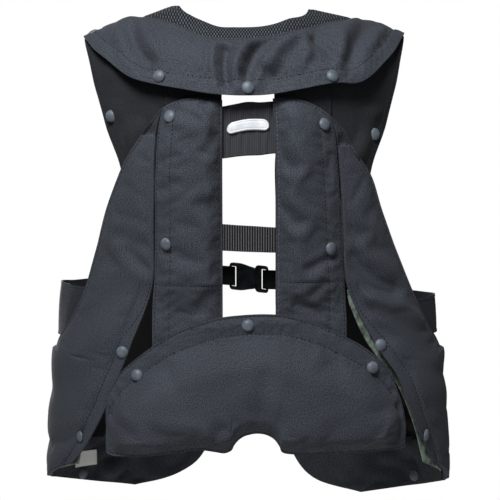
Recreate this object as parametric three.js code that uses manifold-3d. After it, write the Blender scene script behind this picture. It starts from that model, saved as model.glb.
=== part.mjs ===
// An airbag riding vest: an open-sided harness of padded cloth whose covers unsnap when the airbag fills.
// Millimetres. The wearer faces +Y, so the back of the vest faces -Y; +X is the wearer's right and +Z is up.
// The origin lies midway between the shoulders, on the ridge line where the vest rests on the wearer.
import * as THREE from "three";
import { mergeVertices } from "three/addons/utils/BufferGeometryUtils.js";
import Module from "manifold-3d";

const wasm = await Module();
wasm.setup();

// The body form that the cloth follows, as level sections at a drop below the shoulder ridge.
const SQUARENESS = 2.3;
const SHOULDER_ROUND = 105;
// The shoulders fall away from a level middle, and the right one starts nearer to the neck.
const SHOULDER_LINE = { run: 137, curve: 1.4, evensOutAt: 260 };
const SHOULDER_SIDE = {
  left: { level: 70, fall: 36.5 },
  right: { level: 50, fall: 29.5 },
};
const BODY_SECTIONS = [
  { drop: 0, half: 214, back: 118, front: 108 },
  { drop: 60, half: 203, back: 120, front: 112 },
  { drop: 120, half: 192, back: 124, front: 118 },
  { drop: 200, half: 190, back: 124, front: 124 },
  { drop: 280, half: 208, back: 116, front: 122 },
  { drop: 350, half: 228, back: 110, front: 118 },
  { drop: 430, half: 236, back: 114, front: 118 },
  { drop: 640, half: 247, back: 128, front: 124 },
];

// Layers: how far the inner face of each cloth piece stands off the form, and how thick the piece is.
const SHELL_CLOTH = 2;
const LAYER = {
  underCloth: 0.2,
  upperElastic: 0.4,
  lining: 2.8,
  neckLink: 2.7,
  lowerElastic: 2.8,
  neckMesh: 3.5,
  collar: 4.5,
  cover: 4.9,
  hipPad: 12.2,
};
const LINING_CLOTH = 1.2;
const ELASTIC = 1.6;
const WEBBING = 1.6;
const MESH_PAD = 5;
const CHANNEL_PAD = { seam: 3.5, full: 18, end: 6.6 };
const WING_PAD = { seam: 3.2, full: 6.5 };
const COLLAR_PAD = { seam: 3, full: 8 };
const HIP_PAD = { seam: 3, full: 25 };
const SEAM_GAP = 0.8;

// Sides of the vest, as the sign of x.
const LEFT = -1;
const RIGHT = 1;
const SIDES = { left: LEFT, right: RIGHT };

const CLOTH_COLOUR = 0x3b3d44;
const FINISH = {
  cloth: { color: CLOTH_COLOUR, roughness: 0.85 },
  mesh: { color: 0x26282c, roughness: 0.8 },
  elastic: { color: 0x2b2c30, roughness: 0.75 },
  band: { color: 0x2a2f36, roughness: 0.7 },
  lining: { color: 0x5f6d66, roughness: 0.6 },
  reflective: { color: 0xd8dbe0, roughness: 0.35 },
  label: { color: 0xd0d2d2, roughness: 0.7 },
  snap: { color: 0x4a5058, roughness: 0.45, metalness: 0.2 },
  buckle: { color: 0x1b1d20, roughness: 0.45 },
  webbing: { color: 0x1d1e21, roughness: 0.8 },
};

// Small helpers for sizes that change along a piece.
const mix = (a, b, t) => a + (b - a) * t;
const clamp = (value, low, high) => Math.min(high, Math.max(low, value));
const share = (from, to, value) => clamp((value - from) / (to - from), 0, 1);
const smooth = (from, to, value) => THREE.MathUtils.smoothstep(share(from, to, value), 0, 1);
const crown = (t, sharpness) => 1 - Math.abs(2 * t - 1) ** sharpness;
const bell = (distance, width) => Math.exp(-((distance / width) ** 2));

// A smooth function through a table: it reads the named columns at any value of the column "by".
function through(rows, by, columns) {
  const places = rows.map((row) => row[by]);
  const values = rows.flatMap((row) => columns.map((column) => row[column]));
  const spline = new THREE.CubicInterpolant(places, values, columns.length);
  return (at) => {
    const read = spline.evaluate(clamp(at, places[0], places.at(-1)));
    return Object.fromEntries(columns.map((column, i) => [column, read[i]]));
  };
}

// Body form

const bodyAt = through(BODY_SECTIONS, "drop", ["half", "back", "front"]);

function shoulderFall(x, drop) {
  const { run, curve, evensOutAt } = SHOULDER_LINE;
  const { level, fall } = SHOULDER_SIDE[x < 0 ? "left" : "right"];
  const out = Math.max(0, Math.abs(x) - level) / run;
  return -fall * out ** curve * smooth(evensOutAt, 0, drop);
}

// A point of the form. The turn goes round from the centre of the back, and the reach goes down from the
// ridge: 1 is the end of the shoulder's rounding, and a reach below 0 has crossed the ridge to the other face.
function formPoint(turn, reach) {
  const way = Math.abs(reach);
  const quarter = (Math.min(way, 1) * Math.PI) / 2;
  const drop = SHOULDER_ROUND * (1 - Math.cos(quarter) + (Math.max(way, 1) - 1) * (Math.PI / 2));
  const { half, back, front } = bodyAt(drop);
  const facing = Math.cos(turn) * (reach < 0 ? -1 : 1);
  const depth = (facing > 0 ? back : front) * Math.sin(quarter);
  const x = half * Math.sign(turn) * Math.abs(Math.sin(turn)) ** (2 / SQUARENESS);
  const y = -depth * Math.sign(facing) * Math.abs(facing) ** (2 / SQUARENESS);
  return new THREE.Vector3(x, y, shoulderFall(x, drop) - drop);
}

// The turn and reach where the form's back, or its front, lies at x and z.
function spot(x, z, onFront = false) {
  let high = 0;
  let low = BODY_SECTIONS.at(-1).drop;
  for (let step = 0; step < 40; step++) {
    const middle = (high + low) / 2;
    if (shoulderFall(x, middle) - middle > z) high = middle;
    else low = middle;
  }
  const fromBack = Math.asin(Math.min(1, Math.abs(x) / bodyAt(high).half) ** (SQUARENESS / 2));
  const turn = Math.sign(x) * (onFront ? Math.PI - fromBack : fromBack);
  const rounded = high / SHOULDER_ROUND;
  const reach = rounded < 1 ? Math.acos(1 - rounded) : Math.PI / 2 + rounded - 1;
  return { turn, reach: (reach * 2) / Math.PI };
}

// A point that stands off the form along its outward normal, and that normal.
function standOff(turn, reach, lift) {
  const step = 0.004;
  const point = formPoint(turn, reach);
  const along = formPoint(turn + step, reach).sub(formPoint(turn - step, reach));
  const down = formPoint(turn, reach + step).sub(formPoint(turn, reach - step));
  const normal = along.cross(down).normalize();
  const inside = new THREE.Vector3(point.x * 0.6, 0, point.z - SHOULDER_ROUND / 2);
  if (normal.dot(point.clone().sub(inside)) < 0) normal.negate();
  return { point: point.addScaledVector(normal, lift), normal };
}

// Cloth pieces

const ARCH_ENDS = 0.22;

// A piece of cloth between two edges. Each row of its table is one section with an end on either edge.
// Lift and thickness give, at a share u across and v along the piece, where its inner face is and how thick
// it is. Turns are the least and the greatest turn that the piece may take, and arch is how far the middle of
// its top edge rises, as a reach.
class ClothPiece {
  constructor(name, finish, rows, layers) {
    const plain = { turns: [-Math.PI, Math.PI], arch: 0 };
    Object.assign(this, plain, { name, finish }, layers);
    const last = rows.length - 1;
    const numbered = rows.map((row, i) => ({ ...row, at: i / last }));
    this.section = through(numbered, "at", ["turn1", "reach1", "turn2", "reach2"]);
  }

  // The point at a share u from the first edge to the second, v along, and a share of the thickness outward.
  face(u, v, outward) {
    const { turn1, reach1, turn2, reach2 } = this.section(v);
    const turn = clamp(mix(turn1, turn2, u), ...this.turns);
    const reach = mix(reach1, reach2, u) - this.arch * crown(u, 2) * smooth(ARCH_ENDS, 0, v);
    const flat = formPoint(turn, reach);
    const lift = this.lift(u, v, flat) + outward * this.thickness(u, v, flat);
    return standOff(turn, reach, lift);
  }

  // Where the piece lies at x and z, behind or in front, on its outer or its inner face.
  seat(x, z, outward = 1, onFront = false) {
    let best = { u: 0.5, v: 0.5, miss: Infinity };
    for (let span = 0.5; span > 0.0005; span *= 0.6) {
      const centre = best;
      for (let i = -4; i <= 4; i++)
        for (let j = -4; j <= 4; j++) {
          const u = clamp(centre.u + (span * i) / 4, 0, 1);
          const v = clamp(centre.v + (span * j) / 4, 0, 1);
          const { point } = this.face(u, v, outward);
          const miss = point.y > 0 === onFront ? Math.hypot(point.x - x, point.z - z) : Infinity;
          if (miss < best.miss) best = { u, v, miss };
        }
    }
    return this.seatAt(best.u, best.v, outward);
  }

  // A place on a face, with the normal of that face rather than of the form.
  seatAt(u, v, outward) {
    const step = 0.02;
    const at = (du, dv) => this.face(clamp(u + du, 0, 1), clamp(v + dv, 0, 1), outward).point;
    const { point, normal } = this.face(u, v, outward);
    const across = at(step, 0).sub(at(-step, 0));
    const along = at(0, step).sub(at(0, -step));
    const own = across.cross(along).normalize();
    if (own.dot(normal) * (outward - 0.5) < 0) own.negate();
    return { point, normal: own };
  }

  mesh() {
    const grid = (outward) => {
      const points = [];
      for (let j = 0; j <= this.along; j++)
        for (let i = 0; i <= this.across; i++)
          points.push(this.face(i / this.across, j / this.along, outward).point);
      return points;
    };
    return namedMesh(this.name, this.finish, closedGrid(grid(1), grid(0), this.across, this.along));
  }
}

// A closed wall between an outer and an inner grid of points, with its faces pointing out.
function closedGrid(outer, inner, across, along) {
  const wide = across + 1;
  const skip = outer.length;
  const index = [];
  const quad = (a, b, c, d) => index.push(a, b, c, a, c, d);
  for (let j = 0; j < along; j++)
    for (let i = 0; i < across; i++) {
      const a = j * wide + i;
      quad(a, a + 1, a + wide + 1, a + wide);
      quad(skip + a, skip + a + wide, skip + a + wide + 1, skip + a + 1);
    }
  const rim = [];
  for (let i = 0; i < across; i++) rim.push(i);
  for (let j = 0; j < along; j++) rim.push(j * wide + across);
  for (let i = across; i > 0; i--) rim.push(along * wide + i);
  for (let j = along; j > 0; j--) rim.push(j * wide);
  rim.forEach((a, k) => {
    const b = rim[(k + 1) % rim.length];
    quad(b, a, skip + a, skip + b);
  });
  const points = [...outer, ...inner];
  const volume = index.reduce((sum, _, k) => {
    if (k % 3) return sum;
    const [a, b, c] = [0, 1, 2].map((n) => points[index[k + n]]);
    return sum + a.dot(b.clone().cross(c));
  }, 0);
  if (volume < 0) index.reverse();
  return new THREE.BufferGeometry().setFromPoints(points).setIndex(index);
}

function namedMesh(name, finish, geometry) {
  const mesh = new THREE.Mesh(geometry, new THREE.MeshStandardMaterial(FINISH[finish]));
  mesh.name = name;
  return mesh;
}

// Ends of a section, from places in millimetres on the back or the front of the form.
function sectionRow(x1, z1, x2, z2, onFront = false) {
  const first = spot(x1, z1, onFront);
  const second = spot(x2, z2, onFront);
  return { turn1: first.turn, reach1: first.reach, turn2: second.turn, reach2: second.reach };
}

// Padded channels beside the spine window

// The inner edge runs along the window, and the outer edge along the seam to the side wing.
const CHANNEL_SECTIONS = {
  left: [
    { innerX: -30.2, innerZ: -111, outerX: -100, outerZ: -120 },
    { innerX: -30.2, innerZ: -150, outerX: -105, outerZ: -151 },
    { innerX: -30.2, innerZ: -200, outerX: -108, outerZ: -202 },
    { innerX: -30.2, innerZ: -260, outerX: -109, outerZ: -262 },
    { innerX: -30.2, innerZ: -320, outerX: -111, outerZ: -322 },
    { innerX: -30.2, innerZ: -362, outerX: -114, outerZ: -368 },
    { innerX: -30.2, innerZ: -404, outerX: -114, outerZ: -424 },
  ],
  right: [
    { innerX: 29, innerZ: -109, outerX: 97, outerZ: -130 },
    { innerX: 31, innerZ: -150, outerX: 102, outerZ: -158 },
    { innerX: 33, innerZ: -200, outerX: 106, outerZ: -205 },
    { innerX: 33, innerZ: -260, outerX: 110, outerZ: -264 },
    { innerX: 33, innerZ: -320, outerX: 114, outerZ: -322 },
    { innerX: 33, innerZ: -362, outerX: 117, outerZ: -368 },
    { innerX: 33, innerZ: -404, outerX: 118, outerZ: -418 },
  ],
};
const CHANNEL_FLATTENS = { from: -322, to: -370 };
const CHANNEL_ARCH = { left: 0.04, right: 0.046 };

function backChannel(side) {
  const rows = CHANNEL_SECTIONS[side].map((r) => sectionRow(r.innerX, r.innerZ, r.outerX, r.outerZ));
  return new ClothPiece(`back_channel_${side}`, "cloth", rows, {
    across: 7,
    along: 14,
    arch: CHANNEL_ARCH[side],
    lift: () => LAYER.cover,
    thickness: (u, v, at) => {
      const puffed = smooth(CHANNEL_FLATTENS.to, CHANNEL_FLATTENS.from, at.z);
      const full = mix(CHANNEL_PAD.end, CHANNEL_PAD.full, puffed);
      return mix(CHANNEL_PAD.seam, full, crown(u, 2.4) * Math.min(1, 5 * v));
    },
  });
}

// Side wings

// Each wing is sewn to its channel down to the split, hangs free below it, and wraps round to a side seam.
const WING_SECTIONS = {
  left: [
    { innerX: 101, innerZ: -121, outerX: 103, outerZ: -122 },
    { innerX: 104, innerZ: -136, outerX: 113, outerZ: -135 },
    { innerX: 106, innerZ: -158, outerX: 128, outerZ: -156 },
    { innerX: 108, innerZ: -190, outerX: 148, outerZ: -190 },
    { innerX: 109, innerZ: -235, outerX: 166, outerZ: -237 },
    { innerX: 110, innerZ: -285, outerX: 181, outerZ: -292 },
    { innerX: 111, innerZ: -324, outerX: 197, outerZ: -345 },
    { innerX: 122, innerZ: -362, outerX: 215, outerZ: -382 },
    { innerX: 138, innerZ: -402, outerX: 229, outerZ: -405 },
    { innerX: 146, innerZ: -424, outerTurn: 84, outerZ: -418 },
    { innerX: 155, innerZ: -446, outerZ: -424 },
    { innerX: 174, innerZ: -492, outerZ: -480 },
    { innerX: 196, innerZ: -534, outerZ: -540 },
    { innerX: 212, innerZ: -556, outerZ: -591 },
  ],
  right: [
    { innerX: 98, innerZ: -131, outerX: 100, outerZ: -132 },
    { innerX: 101, innerZ: -148, outerX: 113, outerZ: -147 },
    { innerX: 104, innerZ: -172, outerX: 125, outerZ: -170 },
    { innerX: 107, innerZ: -204, outerX: 146, outerZ: -204 },
    { innerX: 110, innerZ: -244, outerX: 160, outerZ: -248 },
    { innerX: 112, innerZ: -288, outerX: 177, outerZ: -294 },
    { innerX: 115, innerZ: -324, outerX: 198, outerZ: -345 },
    { innerX: 129, innerZ: -362, outerX: 216, outerZ: -384 },
    { innerX: 150, innerZ: -404, outerX: 228, outerZ: -405 },
    { innerX: 162, innerZ: -426, outerTurn: 84, outerZ: -418 },
    { innerX: 173, innerZ: -446, outerZ: -424 },
    { innerX: 190, innerZ: -493, outerZ: -480 },
    { innerX: 208, innerZ: -528, outerZ: -540 },
    { innerX: 219, innerZ: -551, outerZ: -591 },
  ],
};
// The right wing's free edge rides up over the end of the hip pad.
const WING_RIDES_UP = { left: 0, right: 15, at: -468, height: 62 };

const SIDE_SEAM = { turn: 93, halfGap: 0.16 };

// The hem hangs a little lower on the right: how far it drops, from the height where the drop starts.
const HEM_DROP = { left: -2.5, right: 7, from: -560, to: -620 };
const hemZ = (z, side) => z - HEM_DROP[side] * share(HEM_DROP.from, HEM_DROP.to, z);

// The ends of a section whose outer end is at an x, at a turn in degrees, or else at the side seam.
function toSideSeam(row, side, seamTurn, onFront) {
  const out = SIDES[side];
  const outerX = out * (row.outerX ?? row.innerX);
  const ends = sectionRow(out * row.innerX, hemZ(row.innerZ, side), outerX, hemZ(row.outerZ, side), onFront);
  const turn = row.outerTurn === undefined ? seamTurn : THREE.MathUtils.degToRad(row.outerTurn);
  return row.outerX === undefined ? { ...ends, turn2: out * turn } : ends;
}

// The span of turns on one side, in rising order.
const turnSpan = (side, from, to) => [SIDES[side] * from, SIDES[side] * to].sort((a, b) => a - b);

function sideWing(side) {
  const seam = THREE.MathUtils.degToRad(SIDE_SEAM.turn - SIDE_SEAM.halfGap);
  const sections = WING_SECTIONS[side].map((r) => ({ ...r, innerX: r.innerX + SEAM_GAP }));
  const rows = sections.map((r) => toSideSeam(r, side, seam, false));
  return new ClothPiece(`side_wing_${side}`, "cloth", rows, {
    across: 9,
    along: 20,
    lift: (u, v, at) =>
      LAYER.cover + WING_RIDES_UP[side] * bell(at.z - WING_RIDES_UP.at, WING_RIDES_UP.height) * (1 - u) ** 2,
    thickness: (u, v) => mix(WING_PAD.seam, WING_PAD.full, crown(u, 4) * crown(v, 8)),
    turns: turnSpan(side, 0, seam),
  });
}

// The airbag's own coated cloth, which shows behind the free edge of each wing.
const LINING_SECTIONS = {
  left: [
    { edgeX: -120, edgeZ: -345, insideX: -175, insideZ: -350 },
    { edgeX: -147, edgeZ: -408, insideX: -195, insideZ: -412 },
    { edgeX: -180, edgeZ: -492, insideX: -218, insideZ: -498 },
    { edgeX: -201, edgeZ: -532, insideX: -231, insideZ: -540 },
    { edgeX: -207, edgeZ: -557, insideX: -239, insideZ: -572 },
  ],
  right: [
    { edgeX: 119, edgeZ: -339, insideX: 170, insideZ: -350 },
    { edgeX: 124, edgeZ: -362, insideX: 182, insideZ: -372 },
    { edgeX: 145, edgeZ: -406, insideX: 195, insideZ: -412 },
    { edgeX: 180, edgeZ: -455, insideX: 214, insideZ: -458 },
    { edgeX: 203, edgeZ: -512, insideX: 226, insideZ: -520 },
    { edgeX: 214, edgeZ: -556, insideX: 239, insideZ: -574 },
  ],
};

function airbagLining(side) {
  const rows = LINING_SECTIONS[side].map((r) => sectionRow(r.edgeX, r.edgeZ, r.insideX, r.insideZ));
  return new ClothPiece(`airbag_lining_${side}`, "lining", rows, {
    across: 3,
    along: 10,
    lift: () => LAYER.lining,
    thickness: () => LINING_CLOTH,
  });
}

// Hip pad

// Upright sections from the left end to the right end, with a notch in the bottom edge over the spine.
const HIP_SECTIONS = [
  { x: -167, top: -482, bottom: -536 },
  { x: -164, top: -466, bottom: -539 },
  { x: -157, top: -453, bottom: -541 },
  { x: -147, top: -437, bottom: -541 },
  { x: -119, top: -412.5, bottom: -540 },
  { x: -88, top: -391.5, bottom: -535 },
  { x: -58, top: -379, bottom: -531 },
  { x: -40, top: -373, bottom: -532 },
  { x: -28, top: -370.5, bottom: -534 },
  { x: -17, top: -369, bottom: -524 },
  { x: -4, top: -368, bottom: -515.5 },
  { x: 9, top: -367, bottom: -512.5 },
  { x: 22, top: -367, bottom: -514.5 },
  { x: 36, top: -367.5, bottom: -523 },
  { x: 52, top: -370.5, bottom: -535 },
  { x: 72, top: -376, bottom: -537 },
  { x: 97, top: -387, bottom: -536 },
  { x: 130, top: -404.5, bottom: -535.5 },
  { x: 151, top: -421, bottom: -535 },
  { x: 166, top: -439, bottom: -535 },
  { x: 175, top: -461, bottom: -535 },
  { x: 181, top: -481, bottom: -534 },
  { x: 185, top: -500, bottom: -532 },
];
const HIP_FLANGE = 24;

function hipPad() {
  const rows = HIP_SECTIONS.map((r) => sectionRow(r.x, r.top, r.x, r.bottom));
  const topEdge = through(HIP_SECTIONS, "x", ["top"]);
  return new ClothPiece("hip_pad", "cloth", rows, {
    across: 8,
    along: 30,
    lift: () => LAYER.hipPad,
    thickness: (u, v, at) => {
      const belowFlange = topEdge(at.x).top - at.z - HIP_FLANGE;
      const fill = smooth(-HIP_FLANGE / 2, HIP_FLANGE * 1.5, belowFlange) * (1 - 0.75 * smooth(0.8, 1, u));
      return mix(HIP_PAD.seam, HIP_PAD.full, fill * crown(v, 6));
    },
  });
}

// Collar

// Sections round the neck from the left front end, over the left shoulder, across the back and over to the
// right front end. Each starts at the neck edge of the mesh band and ends at the collar's free edge.
// A reach is on the back if positive and on the front if negative; stand is how far the free edge stands off.
const COLLAR_SECTIONS = [
  { neckX: -66, neckReach: -0.74, seamX: -88, seamReach: -0.78, edgeX: -128, edgeReach: -0.9, stand: 5 },
  { neckX: -74, neckReach: -0.5, seamX: -106, seamReach: -0.56, edgeX: -164, edgeReach: -0.7, stand: 6 },
  { neckX: -81, neckReach: -0.25, seamX: -124, seamReach: -0.28, edgeX: -192, edgeReach: -0.38, stand: 5 },
  { neckX: -85, neckReach: 0, seamX: -136, seamReach: 0, edgeX: -204, edgeReach: 0, stand: 4.5 },
  { neckX: -80, neckReach: 0.22, seamX: -122, seamReach: 0.18, edgeX: -189, edgeReach: 0.37, stand: 8 },
  { neckX: -70, neckReach: 0.33, seamX: -104, seamReach: 0.31, edgeX: -164, edgeReach: 0.62, stand: 13 },
  { neckX: -53, neckReach: 0.4, seamX: -80, seamReach: 0.45, edgeX: -133, edgeReach: 0.83, stand: 18 },
  { neckX: -35, neckReach: 0.455, seamX: -56, seamReach: 0.55, edgeX: -98, edgeReach: 0.93, stand: 21 },
  { neckX: -17, neckReach: 0.46, seamX: -28, seamReach: 0.58, edgeX: -52, edgeReach: 0.99, stand: 21 },
  { neckX: 0, neckReach: 0.46, seamX: 0, seamReach: 0.575, edgeX: 0, edgeReach: 1.01, stand: 20 },
  { neckX: 17, neckReach: 0.455, seamX: 28, seamReach: 0.55, edgeX: 50, edgeReach: 0.98, stand: 21 },
  { neckX: 35, neckReach: 0.44, seamX: 56, seamReach: 0.5, edgeX: 96, edgeReach: 0.91, stand: 22 },
  { neckX: 50, neckReach: 0.4, seamX: 80, seamReach: 0.42, edgeX: 128, edgeReach: 0.86, stand: 20 },
  { neckX: 63, neckReach: 0.345, seamX: 104, seamReach: 0.29, edgeX: 160, edgeReach: 0.63, stand: 14 },
  { neckX: 71, neckReach: 0.24, seamX: 122, seamReach: 0.17, edgeX: 181, edgeReach: 0.38, stand: 8 },
  { neckX: 75, neckReach: 0, seamX: 134, seamReach: 0, edgeX: 194, edgeReach: 0, stand: 4.5 },
  { neckX: 75, neckReach: -0.25, seamX: 124, seamReach: -0.28, edgeX: 185, edgeReach: -0.38, stand: 5 },
  { neckX: 71, neckReach: -0.5, seamX: 106, seamReach: -0.56, edgeX: 162, edgeReach: -0.7, stand: 6 },
  { neckX: 66, neckReach: -0.74, seamX: 88, seamReach: -0.78, edgeX: 128, edgeReach: -0.9, stand: 5 },
];
// Soft folds of the collar: valleys between two places on the back, with their half width and depth.
const COLLAR_FOLDS = [
  { x1: 46, z1: -38, x2: 2, z2: -84, width: 9, depth: 7 },
  { x1: -26, z1: -62, x2: -23, z2: -92, width: 7, depth: 4 },
  { x1: -140, z1: -40, x2: -122, z2: -68, width: 8, depth: 4 },
  { x1: 92, z1: -34, x2: 92, z2: -76, width: 9, depth: 4 },
  { x1: 150, z1: -28, x2: 118, z2: -76, width: 8, depth: 4 },
];

const sinTurn = (x, half) => Math.sign(x) * Math.asin(Math.min(1, Math.abs(x) / half) ** (SQUARENESS / 2));

// The turn, on the back's side of the ridge, where the form at a reach lies at x.
function turnAt(x, reach) {
  const quarter = (Math.min(Math.abs(reach), 1) * Math.PI) / 2;
  return sinTurn(x, bodyAt(SHOULDER_ROUND * (1 - Math.cos(quarter))).half);
}

function collarRow(fromX, fromReach, toX, toReach) {
  return {
    turn1: turnAt(fromX, fromReach),
    reach1: fromReach,
    turn2: turnAt(toX, toReach),
    reach2: toReach,
  };
}

function foldDepth(at) {
  if (at.y > 0) return 0;
  return COLLAR_FOLDS.reduce((sum, fold) => {
    const line = new THREE.Line3(
      new THREE.Vector3(fold.x1, 0, fold.z1),
      new THREE.Vector3(fold.x2, 0, fold.z2),
    );
    const flat = new THREE.Vector3(at.x, 0, at.z);
    const near = line.closestPointToPoint(flat, true, new THREE.Vector3());
    return sum + fold.depth * bell(near.distanceTo(flat), fold.width);
  }, 0);
}

function collarFlap() {
  const rows = COLLAR_SECTIONS.map((r) => collarRow(r.seamX, r.seamReach, r.edgeX, r.edgeReach));
  const numbered = COLLAR_SECTIONS.map((r, i) => ({ at: i / (COLLAR_SECTIONS.length - 1), stand: r.stand }));
  const stands = through(numbered, "at", ["stand"]);
  return new ClothPiece("collar_flap", "cloth", rows, {
    across: 6,
    along: 40,
    lift: (u, v, at) => mix(LAYER.collar, stands(v).stand, u ** 1.2) - Math.min(0.25 * foldDepth(at), 2) * u,
    thickness: (u, v, at) => mix(COLLAR_PAD.seam, COLLAR_PAD.full, crown(u, 3)) * (1 - 0.08 * foldDepth(at)),
  });
}

function neckMesh() {
  const inset = 0.012;
  const rows = COLLAR_SECTIONS.map((r) => {
    const ends = collarRow(r.neckX, r.neckReach, r.seamX, r.seamReach);
    const toNeck = (seam, neck) => mix(seam, neck, 2 * inset);
    return { ...ends, turn2: toNeck(ends.turn2, ends.turn1), reach2: toNeck(ends.reach2, ends.reach1) };
  });
  return new ClothPiece("neck_mesh", "mesh", rows, {
    across: 2,
    along: 36,
    lift: () => LAYER.neckMesh,
    thickness: (u) => mix(2.5, MESH_PAD, crown(u, 2)),
  });
}

// Shoulder panels under the collar

// From the ridge down the back of the shoulder, between a neck side and the armhole edge.
const SHOULDER_SECTIONS = [
  { neckX: 90, neckReach: 0.005, armX: 203, armReach: 0.005 },
  { neckX: 90, neckReach: 0.25, armX: 199, armReach: 0.27 },
  { neckX: 90, neckReach: 0.5, armX: 192, armReach: 0.53 },
  { neckX: 90, neckReach: 0.8, armX: 183, armReach: 0.82 },
  { neckX: 90, neckReach: 1.1, armX: 173, armReach: 1.15 },
  { neckX: 90, neckReach: 1.45, armX: 157, armReach: 1.48 },
  { neckX: 90, neckReach: 1.75, armX: 146, armReach: 1.75 },
];
// How far each armhole edge is moved out, from the ridge to the foot of the panel.
const ARMHOLE_TRIM = {
  left: { ridge: 1.5, foot: 1.5 },
  right: { ridge: -8.5, foot: -2.5 },
};

function shoulderPanel(side) {
  const out = SIDES[side];
  const { ridge, foot } = ARMHOLE_TRIM[side];
  const rows = SHOULDER_SECTIONS.map((r, i) => {
    const arm = out * (r.armX + mix(ridge, foot, i / (SHOULDER_SECTIONS.length - 1)));
    return collarRow(out * r.neckX, r.neckReach, arm, r.armReach);
  });
  return new ClothPiece(`shoulder_panel_${side}`, "cloth", rows, {
    across: 5,
    along: 12,
    lift: () => LAYER.underCloth,
    thickness: () => SHELL_CLOTH,
  });
}

// The flat passage by which each channel runs up under the collar.
const NECK_LINK = { innerX: 31, outerX: 98, top: -66, bottom: -132, sections: 3 };

function neckLink(side) {
  const { innerX, outerX, top, bottom, sections } = NECK_LINK;
  const rows = Array.from({ length: sections }, (_, i) => {
    const z = mix(top, bottom, i / (sections - 1));
    return sectionRow(SIDES[side] * innerX, z, SIDES[side] * outerX, z);
  });
  return new ClothPiece(`neck_link_${side}`, "cloth", rows, {
    across: 5,
    along: 6,
    lift: () => LAYER.neckLink,
    thickness: () => SHELL_CLOTH,
  });
}

// Elastic across the spine window, and the reflective tab on the upper one

const UPPER_ELASTIC = { top: -115, bottom: -175, half: 50, layer: LAYER.upperElastic };
const LOWER_ELASTIC = { top: -260, bottom: -291, half: 50, layer: LAYER.lowerElastic };
const REFLECTIVE_TAB = { z: -141, half: 25, height: 13.6, thick: 0.9 };
// The tab is sewn on in a slight arch, lower at its left end.
const TAB_ARCH = [
  { x: -25, rise: -4.6 },
  { x: -14, rise: -1.4 },
  { x: 0, rise: 1.2 },
  { x: 14, rise: 1.4 },
  { x: 25, rise: 0.4 },
];

function spineElastic(name, { top, bottom, half, layer }) {
  const rows = [-1, -0.5, 0, 0.5, 1].map((share) => sectionRow(share * half, top, share * half, bottom));
  return new ClothPiece(name, "elastic", rows, {
    across: 2,
    along: 10,
    lift: () => layer,
    thickness: () => ELASTIC,
  });
}

function reflectiveTab() {
  const { z, half, height, thick } = REFLECTIVE_TAB;
  const archAt = through(TAB_ARCH, "x", ["rise"]);
  const shares = [-1, -0.97, -0.88, -0.65, -0.3, 0, 0.3, 0.65, 0.88, 0.97, 1];
  const rows = shares.map((share) => {
    const x = share * half;
    const endCurve = Math.max(0, Math.abs(x) - (half - height / 2));
    const tall = Math.sqrt(Math.max(1, (height / 2) ** 2 - endCurve ** 2));
    const middle = z + archAt(x).rise;
    return sectionRow(x, middle + tall, x, middle - tall);
  });
  return new ClothPiece("reflective_tab", "reflective", rows, {
    across: 2,
    along: 14,
    lift: () => LAYER.upperElastic + ELASTIC + 0.4,
    thickness: () => thick,
  });
}

// Front panels, side bands and the care label

// From the shoulder ridge down to the hem, between the centre-front edge and the armhole or the side seam.
const FRONT_SECTIONS = [
  { innerX: 90, innerZ: -4, outerX: 194, outerZ: -35 },
  { innerX: 84, innerZ: -30, outerX: 188, outerZ: -64 },
  { innerX: 68, innerZ: -75, outerX: 172, outerZ: -108 },
  { innerX: 46, innerZ: -125, outerX: 153, outerZ: -162 },
  { innerX: 36, innerZ: -180, outerX: 148, outerZ: -215 },
  { innerX: 36, innerZ: -240, outerX: 162, outerZ: -270 },
  { innerX: 36, innerZ: -300, outerX: 188, outerZ: -325 },
  { innerX: 36, innerZ: -360, outerX: 211, outerZ: -376 },
  { innerX: 37, innerZ: -405, outerX: 227, outerZ: -405 },
  { innerX: 38, innerZ: -430, outerTurn: 102, outerZ: -418 },
  { innerX: 40, innerZ: -460, outerZ: -424 },
  { innerX: 46, innerZ: -515, outerZ: -480 },
  { innerX: 58, innerZ: -575, outerZ: -540 },
  { innerX: 92, innerZ: -609, outerZ: -572 },
  { innerX: 150, innerZ: -622, outerZ: -591 },
];
const FRONT_PANEL = {
  topLift: 0.2,
  hemLift: 3,
  topThick: 2,
  hemThick: 4,
  thickens: { from: -150, to: -300 },
};

function frontPanel(side) {
  const seam = THREE.MathUtils.degToRad(SIDE_SEAM.turn + SIDE_SEAM.halfGap);
  const rows = FRONT_SECTIONS.map((r) => toSideSeam(r, side, seam, true));
  const { topLift, hemLift, topThick, hemThick, thickens } = FRONT_PANEL;
  const grown = (z) => smooth(thickens.from, thickens.to, z);
  return new ClothPiece(`front_panel_${side}`, "cloth", rows, {
    across: 8,
    along: 22,
    lift: (u, v, at) => mix(topLift, hemLift, grown(at.z)),
    thickness: (u, v, at) => mix(topThick, hemThick, grown(at.z)),
    turns: turnSpan(side, seam, Math.PI),
  });
}

// A wide elastic band across the foot of each armhole, from inside the wing to inside the front panel.
const SIDE_BAND = {
  left: { fromTurn: 60, toTurn: 122, top: -339, bottom: -403, bulge: 8.5 },
  right: { fromTurn: 60, toTurn: 122, top: -354, bottom: -400, bulge: 5 },
  liftInWing: 1.6,
  liftInFront: -0.5,
};

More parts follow.
